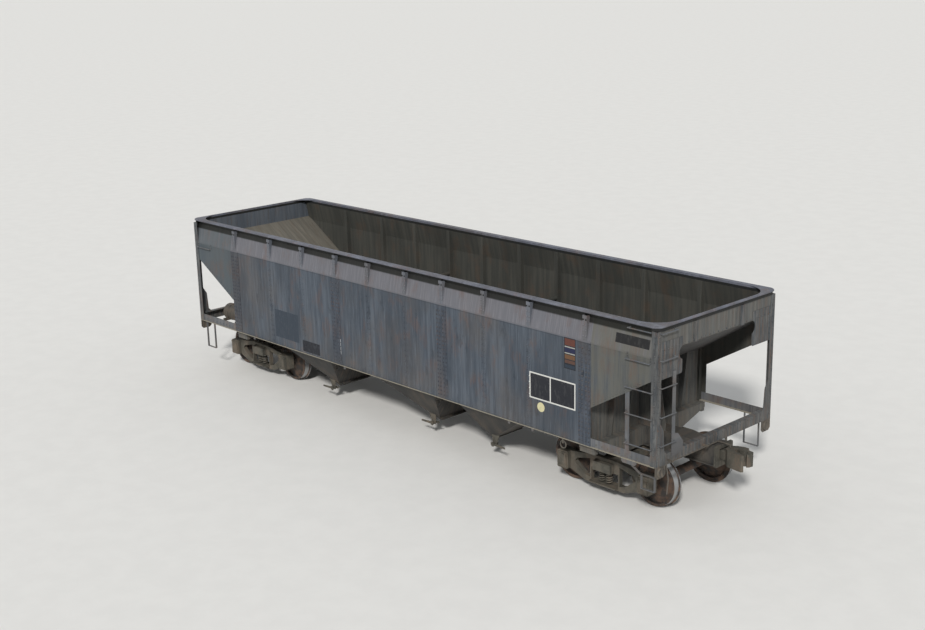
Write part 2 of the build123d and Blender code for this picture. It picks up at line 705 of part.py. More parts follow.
for name, lip_x, facing in HOPPERS:
    pin_x, pin_z = door_point(lip_x, facing, 0, HINGE_OUT)
    for side, sign in SIDES:
        door_plan = (
            (sign * DOOR_IN_Y, 0),
            (sign * door_low_y, 0),
            (sign * door_top_y, SIDE_LOW),
            (sign * DOOR_IN_Y, SIDE_LOW),
        )
        with BuildPart() as door:
            extrude(door_face(lip_x, facing, door_section), amount=SIDE_Y, both=True)
            extrude(door_face(lip_x, facing, rib_section), amount=SIDE_Y, both=True)
            extrude(outline(Plane.YZ, door_plan), amount=FAR, both=True, mode=Mode.INTERSECT)
            for y in EYE_Y:
                with BuildSketch(Plane.XZ.offset(-sign * y + EYE_W / 2)):
                    add(door_face(lip_x, facing, strap_section))
                    with Locations((pin_x, pin_z)):
                        Circle(EYE_R)
                        Circle(HINGE_PIN_R + PIN_GAP, mode=Mode.SUBTRACT)
                extrude(amount=-EYE_W)
        save(door, f"hopper_door_{name}_{side}")
        with BuildPart() as hinge:
            for y in EYE_Y:
                for step in (-1, 1):
                    lug_y = sign * y + step * (EYE_W / 2 + LUG_GAP + LUG_W / 2)
                    with BuildSketch(Plane.XZ.offset(-lug_y + LUG_W / 2)):
                        add(door_face(lip_x, facing, lug_section))
                    extrude(amount=-LUG_W)
            pin_end = EYE_Y[0] - EYE_W if sign > 0 else -EYE_Y[-1] - EYE_W
            with BuildSketch(Plane.XZ.offset(-pin_end)):
                with Locations((pin_x, pin_z)):
                    Circle(HINGE_PIN_R)
            extrude(amount=-(EYE_Y[-1] - EYE_Y[0] + 2 * EYE_W))
        hinges.append(hinge.part)
with BuildPart() as door_hinges:
    add(hinges)
save(door_hinges, "door_hinges")

# Bogies, built about x = 0 and saved at both ends. Cast side frames with their journal boxes.
HALF_BASE = WHEELBASE / 2
BOX_IN_X = HALF_BASE - BOX_W / 2
FRAME_SHOULDER_X = 260
FRAME_KNEE_X = 430
ARM_TOP_H = 85
ARM_FOOT_H = 110
COLUMN_W = 110
hole_top_x = BOX_IN_X - 145
frame_half = (
    (0, FRAME_TOP),
    (FRAME_SHOULDER_X, FRAME_TOP),
    (BOX_IN_X, BOX_TOP),
    (HALF_BASE, BOX_TOP),
    (HALF_BASE, BOX_LOW),
    (BOX_IN_X, BOX_LOW),
    (FRAME_KNEE_X, FRAME_LOW),
    (0, FRAME_LOW),
)
light_hole = (
    (COLUMN_X + COLUMN_W, FRAME_TOP - ARM_TOP_H),
    (hole_top_x, BOX_TOP - ARM_TOP_H),
    (BOX_IN_X - ARM_TOP_H, (BOX_TOP + BOX_LOW) / 2),
    (FRAME_KNEE_X, FRAME_LOW + ARM_FOOT_H),
    (COLUMN_X + COLUMN_W, FRAME_LOW + ARM_TOP_H),
)
SEAT_D = 250
SEAT_T = 18
LID_MARGIN = 25
LID_TOP_X = 75
LID_LOW_X = 105
lid_shape = (
    (HALF_BASE - LID_TOP_X, BOX_TOP - LID_MARGIN),
    (HALF_BASE + LID_TOP_X, BOX_TOP - LID_MARGIN),
    (HALF_BASE + LID_LOW_X, BOX_LOW + LID_MARGIN),
    (HALF_BASE - LID_LOW_X, BOX_LOW + LID_MARGIN),
)
frame_face = outline(Plane.XZ.offset(JOURNAL_Y), frame_half)
hole_face = outline(Plane.XZ.offset(JOURNAL_Y), light_hole)
with BuildPart() as side_frames:
    extrude(frame_face, amount=FRAME_T / 2, both=True)
    extrude(hole_face, amount=FRAME_T, both=True, mode=Mode.SUBTRACT)
    with BuildSketch(Plane.XZ.offset(JOURNAL_Y)):
        with Locations((0, (BOLSTER_TOP + BOLSTER_LOW) / 2)):
            Rectangle(2 * COLUMN_X, BOLSTER_TOP - BOLSTER_LOW + 20)
        with Locations((0, (SEAT_Z + BOLSTER_LOW) / 2)):
            Rectangle(2 * SEAT_X, BOLSTER_LOW - SEAT_Z)
    extrude(amount=FRAME_T, both=True, mode=Mode.SUBTRACT)
    with BuildSketch(Plane.XZ.offset(JOURNAL_Y)):
        with Locations((SEAT_X / 2, SEAT_Z - SEAT_T / 2)):
            Rectangle(SEAT_X, SEAT_T)
    extrude(amount=SEAT_D / 2, both=True)
    with BuildSketch(Plane.XZ.offset(BOX_IN_Y)):
        with Locations((HALF_BASE, (BOX_TOP + BOX_LOW) / 2)):
            RectangleRounded(BOX_W, BOX_TOP - BOX_LOW, BOX_ROUND)
    extrude(amount=BOX_OUT_Y - BOX_IN_Y)
    extrude(outline(Plane.XZ.offset(BOX_OUT_Y), lid_shape), amount=LID_T)
    with BuildSketch(Plane.XZ.offset(BOX_IN_Y)):
        with Locations((HALF_BASE, AXLE_Z)):
            Circle(JOURNAL_R + PIN_GAP)
    extrude(amount=JOURNAL_END + JOURNAL_PLAY - BOX_IN_Y, mode=Mode.SUBTRACT)
    mirror(about=Plane.YZ)
    mirror(about=Plane.XZ)

# Bogie bolster: a casting that is deepest in the middle, with the bowl and the side bearings
BOWL_FLOOR = 8
BOWL_WALL_GAP = 5
BEARING_GAP = 6
BELLY_Z = AXLE_Z - 74
BELLY_Y = 360
BELLY_END_Y = 790
SHOULDER_Y = 830
BOWL_BLOCK_Y = 310
bolster_half = (
    (0, BELLY_Z),
    (BELLY_Y, BELLY_Z),
    (BELLY_END_Y, BOLSTER_LOW),
    (BOLSTER_Y, BOLSTER_LOW),
    (BOLSTER_Y, BOLSTER_TOP),
    (SHOULDER_Y, BOLSTER_TOP),
    (BOWL_BLOCK_Y, CENTRE_PLATE_Z - BOWL_FLOOR),
    (0, CENTRE_PLATE_Z - BOWL_FLOOR),
)
with BuildPart() as bogie_bolster:
    extrude(outline(Plane.YZ, bolster_half), amount=BOLSTER_W / 2, both=True)
    with BuildSketch(Plane.XY.offset(BOLSTER_TOP)):
        with Locations((0, SIDE_BEARING_Y)):
            Rectangle(BOLSTER_HALF, BEARING_PAD)
    extrude(amount=SILL_LOW - SIDE_BEARING_H - BEARING_GAP - BOLSTER_TOP)
    mirror(about=Plane.XZ)
    with BuildSketch(Plane.XY.offset(CENTRE_PLATE_Z - BOWL_FLOOR)):
        Circle(CENTRE_PLATE_R + BOWL_WALL_GAP + BOWL_RIM)
    extrude(amount=BOWL_FLOOR + BOWL_RIM)
    with BuildSketch(Plane.XY.offset(CENTRE_PLATE_Z)):
        Circle(CENTRE_PLATE_R + BOWL_WALL_GAP)
    extrude(amount=BOWL_RIM, mode=Mode.SUBTRACT)

# Springs: a pair of coils on each seat, drawn as ringed columns
turn_h = (BOLSTER_LOW - SEAT_Z) / SPRING_TURNS
WIRE_R = 12
spring_rim = [(0, SEAT_Z)]
for turn in range(SPRING_TURNS):
    low = SEAT_Z + turn * turn_h
    spring_rim += [(SPRING_R - WIRE_R, low), (SPRING_R, low + turn_h / 2)]
spring_rim += [(SPRING_R - WIRE_R, BOLSTER_LOW), (0, BOLSTER_LOW)]
with BuildPart() as springs:
    for x in (-SPRING_X, SPRING_X):
        spring_plane = Plane(origin=(x, -JOURNAL_Y, 0), x_dir=(1, 0, 0), z_dir=(0, -1, 0))
        revolve(outline(spring_plane, spring_rim), axis=Axis((x, -JOURNAL_Y, 0), (0, 0, 1)))
    mirror(about=Plane.XZ)

# Brake beams with a shoe for each wheel, hung from the side frames
BEAM_R = 30
SHOE_ARC = 20
SHOE_Y = BACK_TO_BACK / 2 + 92
SHOE_HEAD_H = 70
SHOE_HEAD_IN = 20
SHOE_IN = WHEEL_R + SHOE_GAP
HANGER_R = 12
HANGER_TOP = 150
BEAM_GAP = 66.5
shoe_back_x = HALF_BASE - SHOE_IN - SHOE_T
BEAM_X = shoe_back_x - BEAM_GAP
with BuildPart() as brake_beams:
    with BuildSketch(Plane.XZ.offset(SHOE_Y)):
        with BuildLine():
            CenterArc((HALF_BASE, AXLE_Z), SHOE_IN, 180 - SHOE_ARC, 2 * SHOE_ARC)
            CenterArc((HALF_BASE, AXLE_Z), SHOE_IN + SHOE_T, 180 - SHOE_ARC, 2 * SHOE_ARC)
            for angle in (180 - SHOE_ARC, 180 + SHOE_ARC):
                foot = Vector(SHOE_IN, 0).rotate(Axis.Z, angle) + Vector(HALF_BASE, AXLE_Z)
                PolarLine(foot, SHOE_T, angle)
        make_face()
        with Locations(((BEAM_X + shoe_back_x) / 2, AXLE_Z)):
            Rectangle(shoe_back_x - BEAM_X + SHOE_HEAD_IN, SHOE_HEAD_H)
    extrude(amount=SHOE_W / 2, both=True)
    with BuildSketch(Plane.XZ):
        with Locations((BEAM_X, AXLE_Z)):
            Circle(BEAM_R)
    extrude(amount=SHOE_Y + SHOE_W / 2)
    with BuildSketch(Plane.XY.offset(AXLE_Z)):
        with Locations((BEAM_X, -SHOE_Y - SHOE_W / 4)):
            Circle(HANGER_R)
    extrude(amount=HANGER_TOP)
    with BuildSketch(Plane.XZ.offset(SHOE_Y + SHOE_W / 4 - HANGER_R)):
        with Locations((BEAM_X, AXLE_Z + HANGER_TOP - HANGER_R)):
            Circle(HANGER_R)
    extrude(amount=JOURNAL_Y - FRAME_T / 2 - SHOE_Y - SHOE_W / 4 + HANGER_R)
    mirror(about=Plane.XZ)
    mirror(about=Plane.YZ)

for end, sign in ENDS:
    save(side_frames, f"side_frames_{end}", sign * BOGIE_X)
    save(bogie_bolster, f"bogie_bolster_{end}", sign * BOGIE_X)
    save(springs, f"springs_{end}", sign * BOGIE_X)
    save(brake_beams, f"brake_beams_{end}", sign * BOGIE_X)

# Wheelsets: two wheels on their axle, each a turned shape given by y and radius
RIM_IN = BACK_TO_BACK / 2
RIM_OUT = RIM_IN + RIM_W
RIM_D = 50
SEAT_R = AXLE_R + 8
SEAT_IN_Y = RIM_IN - 90
COLLAR_Y = BOX_IN_Y - 8
HUB_IN = RIM_IN - 35
HUB_OUT = RIM_OUT - 8
DISH_RIM_R = WHEEL_R - RIM_D - 10
TREAD_DROP = 7
FLANGE_CREST = 22
FLANGE_FOOT = 38
DISH_IN = RIM_IN + 50
DISH_T = 34
wheel_shape = (
    (HUB_IN, SEAT_R),
    (HUB_IN, HUB_R),
    (DISH_IN, DISH_RIM_R),
    (RIM_IN, WHEEL_R - RIM_D),
    (RIM_IN, WHEEL_R + FLANGE_H),
    (RIM_IN + FLANGE_CREST, WHEEL_R + FLANGE_H),
    (RIM_IN + FLANGE_FOOT, WHEEL_R + 2),
    (RIM_OUT, WHEEL_R + 2 - TREAD_DROP),
    (RIM_OUT, WHEEL_R - RIM_D),
    (DISH_IN + DISH_T, DISH_RIM_R),
    (HUB_OUT, HUB_R),
    (HUB_OUT, SEAT_R),
)
axle_shape = (
    (0, 0),
    (0, AXLE_R),
    (SEAT_IN_Y, SEAT_R),
    (COLLAR_Y, SEAT_R),
    (COLLAR_Y, JOURNAL_R),
    (JOURNAL_END, JOURNAL_R),
    (JOURNAL_END, 0),
)
axle_plane = Plane(origin=(0, 0, AXLE_Z), x_dir=(0, 1, 0), z_dir=(1, 0, 0))
axle_line = Axis((0, 0, AXLE_Z), (0, 1, 0))
with BuildPart() as wheelset:
    revolve(outline(axle_plane, wheel_shape), axis=axle_line)
    revolve(outline(axle_plane, axle_shape), axis=axle_line)
    mirror(about=Plane.XZ)
for end, sign in ENDS:
    save(wheelset, f"wheelset_{end}_outer", sign * (BOGIE_X + HALF_BASE))
    save(wheelset, f"wheelset_{end}_inner", sign * (BOGIE_X - HALF_BASE))

# Couplers, drawn about the coupling line with +X outwards: the head, its shank and the knuckle
HEAD_H = 280
HEAD_BACK = 340
LUG_H = 30
KNUCKLE_PIN_R = 20
KNUCKLE_X = -95
KNUCKLE_Y = 112
SHANK_W = 130
SHANK_H = 165
SHANK_LEN = 800
SHANK_ROUND = 15
KNUCKLE_PLAY = 2
# Plans of the castings: x and y from the coupling point
head_plan = (
    (-HEAD_BACK, -70),
    (-250, -150),
    (-120, -165),
    (40, -190),
    (70, -160),
    (30, -130),
    (-120, -110),
    (-190, -40),
    (-190, 150),
    (-250, 140),
    (-HEAD_BACK, 70),
)
lug_plan = ((-200, 40), (-200, 150), (-150, 172), (-60, 172), (-30, 120), (-60, 60))
knuckle_plan = (
    (-165, 60),
    (-170, 100),
    (-130, 160),
    (-50, 168),
    (40, 150),
    (78, 90),
    (66, 10),
    (34, -22),
    (8, 0),
    (6, 60),
    (-40, 88),
    (-70, 60),
)
with BuildPart() as coupler:
    with BuildSketch(Plane.XY.offset(COUPLER_Z - HEAD_H / 2)):
        add(outline(Plane.XY, head_plan))
    extrude(amount=HEAD_H)
    for z in (COUPLER_Z - HEAD_H / 2, COUPLER_Z + HEAD_H / 2 - LUG_H):
        with BuildSketch(Plane.XY.offset(z)):
            add(outline(Plane.XY, lug_plan))
        extrude(amount=LUG_H)
    with BuildSketch(Plane.XY.offset(COUPLER_Z - HEAD_H / 2)):
        with Locations((KNUCKLE_X, KNUCKLE_Y)):
            Circle(KNUCKLE_PIN_R)
    extrude(amount=HEAD_H)
    with BuildSketch(Plane.YZ.offset(-SHANK_LEN)):
        with Locations((0, COUPLER_Z)):
            RectangleRounded(SHANK_W, SHANK_H, SHANK_ROUND)
    extrude(amount=SHANK_LEN - HEAD_BACK + SHANK_ROUND)
with BuildPart() as knuckle:
    with BuildSketch(Plane.XY.offset(COUPLER_Z - HEAD_H / 2 + LUG_H + KNUCKLE_PLAY)):
        add(outline(Plane.XY, knuckle_plan))
        with Locations((KNUCKLE_X, KNUCKLE_Y)):
            Circle(KNUCKLE_PIN_R + PIN_GAP, mode=Mode.SUBTRACT)
    extrude(amount=HEAD_H - 2 * (LUG_H + KNUCKLE_PLAY))
for end, sign in ENDS:
    save(coupler, f"coupler_{end}", sign * COUPLING_X, 90 - 90 * sign)
    save(knuckle, f"knuckle_{end}", sign * COUPLING_X, 90 - 90 * sign)

# Strikers: the collar on the centre sill's end that the coupler passes through
COLLAR_W = 2 * SILL_FLANGE_Y
COLLAR_T = 40
COLLAR_H = SILL_TOP - SILL_LOW + COLLAR_T
SHANK_PLAY = 30
SHANK_SWING = 65
with BuildPart() as strikers:
    with BuildSketch(Plane.YZ.offset(STRIKER_X)):
        with Locations((0, (SILL_TOP + SILL_LOW) / 2)):
            RectangleRounded(COLLAR_W, COLLAR_H, 30)
        with Locations((0, COUPLER_Z + SHANK_PLAY / 2 - PIN_GAP)):
            Rectangle(SHANK_W + 2 * SHANK_SWING, SHANK_H + SHANK_PLAY, mode=Mode.SUBTRACT)
    extrude(amount=COLLAR_T)
    mirror(about=Plane.YZ)
save(strikers, "strikers")

# Ladders at the right-hand end of each side: a stile, its foot plate and rungs, on the side and
# on the end. Rungs stand off by one depth from the faces that carry them.
RUNG_R = 10
RUNG_OUT = 50
STILE_X = END_X - 615
STILE_W = 80
STILE_T = 10
STILE_LAP = 160
RUNG_END_X = END_X - 60
SIDE_RUNG_Z = (SIDE_LOW + 280, SIDE_LOW + 775)
end_stile_y = GUSSET_Y + 164
END_STILE_W = 70
END_STILE_T = 14
END_RUNG_Z = (END_SILL_TOP + 180, END_SILL_TOP + 650, GUSSET_LOW - 120)
END_RUNG_IN_Y = end_stile_y + END_STILE_W / 2
RUNG_POST_Y = SIDE_Y - 56
side_rung_y = -SIDE_Y - RUNG_OUT
end_rung_x = END_X + RUNG_OUT + POST_T
diagonal_rise = (DIAGONAL_HIGH - DIAGONAL_LOW) / (END_X - SIDE_END_X)
stile_top = DIAGONAL_LOW + diagonal_rise * (STILE_X - SIDE_END_X) + STILE_LAP
FOOT_IN_Y = 880
FOOT_SHOULDER_Y = 1010
foot_plate = (
    (-end_stile_y - END_STILE_W, END_SILL_TOP - 90),
    (-FOOT_IN_Y, END_SILL_TOP - 50),
    (-FOOT_IN_Y, END_SILL_TOP + 110),
    (-FOOT_SHOULDER_Y, END_SILL_TOP + 270),
    (-end_stile_y - END_STILE_W, END_SILL_TOP + 315),
)


def side_rung(z, low_y):
    """A rung across the open end of a side, from the stile to the post."""
    points = (
        (STILE_X + STILE_W / 2, low_y, z),
        (STILE_X + STILE_W / 2, side_rung_y, z),
        (RUNG_END_X, side_rung_y, z),
        (RUNG_END_X, -SIDE_Y - POST_T, z),
    )
    return rod(points, RUNG_R)


def end_rung(z, foot_x, in_y):
    """A rung on an end, from the post's leg to the face at foot_x."""
    points = (
        (END_X + POST_T, -RUNG_POST_Y, z),
        (end_rung_x, -RUNG_POST_Y, z),
        (end_rung_x, -in_y, z),
        (foot_x, -in_y, z),
    )
    return rod(points, RUNG_R)


def both_corners(piece):
    """A piece at the near right-hand corner and its like at the far left-hand one."""
    return piece + piece.rotate(Axis.Z, 180)


with BuildPart() as ladder:
    with BuildSketch(Plane.XZ.offset(INNER_Y - STILE_T)):
        with Locations((STILE_X + STILE_W / 2, (SIDE_SILL_TOP + stile_top) / 2)):
            Rectangle(STILE_W, stile_top - SIDE_SILL_TOP)
    extrude(amount=STILE_T)
    with BuildSketch(Plane.YZ.offset(END_X + SHEET)):
        with Locations((-end_stile_y - END_STILE_W / 2, (END_SILL_TOP + GUSSET_LOW + STILE_LAP / 2) / 2)):
            Rectangle(END_STILE_W, GUSSET_LOW + STILE_LAP / 2 - END_SILL_TOP)
    extrude(amount=END_STILE_T)
    extrude(outline(Plane.YZ.offset(END_X + POST_T), foot_plate), amount=END_STILE_T + SHEET - POST_T)
    for z in SIDE_RUNG_Z:
        add(side_rung(z, -INNER_Y))
    for z in END_RUNG_Z:
        add(end_rung(z, END_X + SHEET + END_STILE_T, END_RUNG_IN_Y))
with BuildPart() as ladders:
    add(both_corners(ladder.part))
save(ladders, "ladders")

# Grab irons on the sheets above the ladders, and at the left-hand end of each side
grab_y = -UPPER_Y - (SIDE_Y - UPPER_Y) / (CHORD_LOW - BREAK_Z) * 30
GRAB_TOP_Z = CHORD_LOW - 30
GRAB_MID_Z = BREAK_Z - 100
GRAB_LOW_Z = stile_top - 30
GRAB_OUT = 80
with BuildPart() as grab_iron:
    add(side_rung(GRAB_LOW_Z, -SIDE_Y))
    for x_sign, z, foot_y, out in (
        (1, GRAB_MID_Z, -SIDE_Y, RUNG_OUT),
        (1, GRAB_TOP_Z, grab_y, GRAB_OUT),
        (-1, GRAB_MID_Z, -SIDE_Y, RUNG_OUT),
    ):
        left_x = x_sign * (STILE_X + STILE_W / 2)
        right_x = x_sign * (END_X - POST_LEG - 2 * RUNG_R)
        grab_points = (
            (left_x, foot_y, z),
            (left_x, foot_y - out, z),
            (right_x, foot_y - out, z),
            (right_x, foot_y, z),
        )
        add(rod(grab_points, RUNG_R))
    add(end_rung(GUSSET_LOW + 315, END_X + SHEET, END_RUNG_IN_Y))
    add(end_rung(GRAB_TOP_Z, END_X, END_RUNG_IN_Y))
    add(side_sheets.part, mode=Mode.SUBTRACT)
with BuildPart() as grab_irons:
    add(both_corners(grab_iron.part))
save(grab_irons, "grab_irons")

# Sill steps: flat bars under the side sills, with two treads at the ladders and one at the other end
STEP_T = 10
STEP_W = 40
STEP_OUT_Y = SIDE_Y + 4
STEP_FOOT_X = END_X - 490
STEP_BEND_X = END_X - 315
STEP_LEG_X = END_X - 280
TREAD_TOP = SILL_FOOT_LOW - 174
TREAD_LOW = SILL_FOOT_LOW - 415
TREAD_LONE = SILL_FOOT_LOW - 560
TAB_H = 70
TAB_W = 300
TAB_BEVEL = 30
TAB_X = END_X - 520
step_plane = Plane.XZ.offset(STEP_OUT_Y - STEP_W)
upper_bar = (
    (STEP_FOOT_X, SILL_FOOT_LOW),
    (STEP_FOOT_X, SILL_FOOT_LOW - TAB_H),
    (STEP_BEND_X, TREAD_TOP),
    (END_X, TREAD_TOP),
)
lower_bar = (
    (STEP_LEG_X, TREAD_TOP + STEP_T),
    (STEP_LEG_X, TREAD_LOW),
    (END_X - STEP_T, TREAD_LOW),
    (END_X - STEP_T, TREAD_TOP + STEP_T),
)
lone_bar = (
    (-STEP_FOOT_X, SILL_FOOT_LOW),
    (-STEP_FOOT_X, TREAD_LONE),
    (-STEP_FOOT_X - TAB_W, TREAD_LONE),
    (-STEP_FOOT_X - TAB_W, SILL_FOOT_LOW),
)
tab_shape = (
    (TAB_X - TAB_W / 2, SILL_FOOT_LOW),
    (TAB_X - TAB_W / 2, SILL_FOOT_LOW - TAB_H + TAB_BEVEL),
    (TAB_X - TAB_W / 2 + TAB_BEVEL, SILL_FOOT_LOW - TAB_H),
    (TAB_X + TAB_W / 2 - TAB_BEVEL, SILL_FOOT_LOW - TAB_H),
    (TAB_X + TAB_W / 2, SILL_FOOT_LOW - TAB_H + TAB_BEVEL),
    (TAB_X + TAB_W / 2, SILL_FOOT_LOW),
)
with BuildPart() as sill_step:
    extrude(strip(step_plane, upper_bar, STEP_T, Side.LEFT), amount=STEP_W)
    extrude(strip(step_plane, lower_bar, STEP_T, Side.LEFT), amount=STEP_W)
    extrude(strip(step_plane, lone_bar, STEP_T), amount=STEP_W)
    extrude(outline(Plane.XZ.offset(STEP_OUT_Y - STEP_T / 2), tab_shape), amount=STEP_T)
with BuildPart() as sill_steps:
    add(both_corners(sill_step.part))
save(sill_steps, "sill_steps")

# Uncoupling levers: a bent rod in two brackets on the end sill, from a handle to the coupler's head
LEVER_X = END_X + 100
LEVER_Z = SILL_FOOT_LOW + 60
LEVER_HANDLE_Y = -1400
LEVER_ARM_Y = -60
HEAD_TOP = COUPLER_Z + HEAD_H / 2
lever_points = (
    (LEVER_X + 20, LEVER_HANDLE_Y, LEVER_Z - 500),
    (LEVER_X + 45, LEVER_HANDLE_Y, LEVER_Z - 260),
    (LEVER_X, LEVER_HANDLE_Y, LEVER_Z),
    (LEVER_X, LEVER_ARM_Y, LEVER_Z),
    (COUPLING_X - HEAD_BACK + 80, LEVER_ARM_Y, LEVER_Z),
    (COUPLING_X - HEAD_BACK + 80, LEVER_ARM_Y, HEAD_TOP + 25),
)
LEVER_BRACKET_Y = (-1250, -350)
LEVER_BRACKET_H = 40
with BuildPart() as lever:
    add(rod(lever_points, RUNG_R))
    for y in LEVER_BRACKET_Y:
        with BuildSketch(Plane.XZ.offset(-y)):
            with Locations(((END_X + POST_T + LEVER_X) / 2 + RUNG_R, LEVER_Z)):
                Rectangle(LEVER_X - END_X - POST_T + 2 * RUNG_R, LEVER_BRACKET_H)
        extrude(amount=STILE_T)
with BuildPart() as levers:
    add(both_corners(lever.part))
save(levers, "uncoupling_levers")

# Train pipe along the wagon, with a hanger and an angle cock at each end
PIPE_R = 21
PIPE_Z = COUPLER_Z - 116
PIPE_LOW_Z = SILL_LOW - PIPE_R - 15
PIPE_Y = 330
PIPE_IN_Y = 60
COCK_R = 30
COCK_X = END_X + 110
HANGER_W = 50
hanger_low = PIPE_Z - PIPE_R - STEP_T
pipe_half = (
    (END_X + 130, PIPE_Y, PIPE_Z),
    (BOGIE_X + 950, PIPE_Y, PIPE_Z),
    (BOGIE_X + 850, PIPE_Y, PIPE_LOW_Z),
    (BOGIE_X + 700, PIPE_IN_Y, PIPE_LOW_Z),
    (BOGIE_X + 600, PIPE_IN_Y, PIPE_LOW_Z),
    (BOGIE_X + 450, PIPE_IN_Y, PIPE_Z + PIPE_R),
)
cock_points = (
    (COCK_X, PIPE_Y, PIPE_Z),
    (COCK_X + 90, PIPE_Y, PIPE_Z),
    (COCK_X + 140, PIPE_Y, PIPE_Z - 50),
)
pipe_points = [*pipe_half, *[(-x, -y, z) for x, y, z in reversed(pipe_half)]]
with BuildPart() as cock:
    add(rod(cock_points, COCK_R))
    with BuildSketch(Plane.XY.offset(PIPE_Z)):
        with Locations((COCK_X + COCK_R + 5, PIPE_Y)):
            Circle(COCK_R / 2)
    extrude(amount=2 * COCK_R)
    with BuildSketch(Plane.XY.offset(PIPE_Z + 2 * COCK_R - STEP_T)):
        with Locations((COCK_X + COCK_R + 5, PIPE_Y + HANGER_W)):
            Rectangle(STEP_T * 2, 3 * HANGER_W)
    extrude(amount=STEP_T)
    with BuildSketch(Plane.YZ.offset(END_X - 2 * STEP_T)):
        with Locations((PIPE_Y, (hanger_low + SILL_FOOT_LOW) / 2)):
            Rectangle(HANGER_W, SILL_FOOT_LOW - hanger_low)
    extrude(amount=STEP_T)
with BuildPart() as train_pipe:
    add(rod(pipe_points, PIPE_R))
    add(both_corners(cock.part))
save(train_pipe, "train_pipe")

# Bars over the left bogie, from the end sill to the body bolster, and the brake gear on them
GEAR_BAR_Y = (-1250, -800, -410, 410, 800)
GEAR_BAR_W = 50
GEAR_BAR_H = 65
GEAR_BAR_IN_X = -BOGIE_X - BOLSTER_HALF
with BuildPart() as gear_bars:
    with BuildSketch(Plane.XY.offset(SILL_FOOT_LOW - GEAR_BAR_H)):
        for y in GEAR_BAR_Y:
            with Locations(((GEAR_BAR_IN_X - END_X) / 2, y)):
                Rectangle(END_X + GEAR_BAR_IN_X, GEAR_BAR_W)
    extrude(amount=GEAR_BAR_H)
save(gear_bars, "brake_gear_bars")

# A vessel lies between two bars on two saddles: node, middle x, middle y, length, radius
GEAR_X = -BOGIE_X - 770
VESSELS = (
    ("brake_cylinder", GEAR_X + 20, (GEAR_BAR_Y[1] + GEAR_BAR_Y[2]) / 2, 360, 132),
    ("air_reservoir", GEAR_X, (GEAR_BAR_Y[0] + GEAR_BAR_Y[1]) / 2, 720, 175),
)
SADDLE_W = 40
SADDLE_H = 60
SADDLE_SHARE = 0.3
VESSEL_SINK = 12
VESSEL_BEVEL = 30
CAP_T = 16
saddle_span = GEAR_BAR_Y[1] - GEAR_BAR_Y[0] + GEAR_BAR_W
for name, mid_x, mid_y, length, vessel_r in VESSELS:
    vessel_z = SILL_FOOT_LOW + vessel_r - VESSEL_SINK
    with BuildPart() as vessel:
        with BuildSketch(Plane.YZ.offset(mid_x - length / 2)):
            with Locations((mid_y, vessel_z)):
                Circle(vessel_r)
        extrude(amount=length)
        chamfer(vessel.edges().filter_by(GeomType.CIRCLE), VESSEL_BEVEL)
        for share in (-SADDLE_SHARE, SADDLE_SHARE):
            with BuildSketch(Plane.XY.offset(SILL_FOOT_LOW)):
                with Locations((mid_x + share * length, mid_y)):
                    Rectangle(SADDLE_W, saddle_span)
            extrude(amount=SADDLE_H)
    save(vessel, name)

# Brake valve: a pipe bracket with a casting on each side, on the far pair of bars
VALVE_X = GEAR_X - 30
VALVE_Y = (GEAR_BAR_Y[3] + GEAR_BAR_Y[4]) / 2
VALVE_BASE_T = 12
VALVE_H = 260
VALVE_BLOCK = 120
VALVE_CAST_R = 90
VALVE_CAST_W = 380
with BuildPart() as valve:
    with BuildSketch(Plane.XY.offset(SILL_FOOT_LOW)):
        with Locations((VALVE_X, VALVE_Y)):
            Rectangle(2 * VALVE_BLOCK, saddle_span)
    extrude(amount=VALVE_BASE_T)
    with BuildSketch(Plane.XY.offset(SILL_FOOT_LOW)):
        with Locations((VALVE_X, VALVE_Y)):
            Rectangle(VALVE_BLOCK, VALVE_BLOCK * 2)
    extrude(amount=VALVE_H)
    with BuildSketch(Plane.YZ.offset(VALVE_X - VALVE_CAST_W / 2)):
        with Locations((VALVE_Y, SILL_FOOT_LOW + VALVE_H / 2 + VALVE_BASE_T)):
            Circle(VALVE_CAST_R)
    extrude(amount=VALVE_CAST_W)
save(valve, "brake_valve")

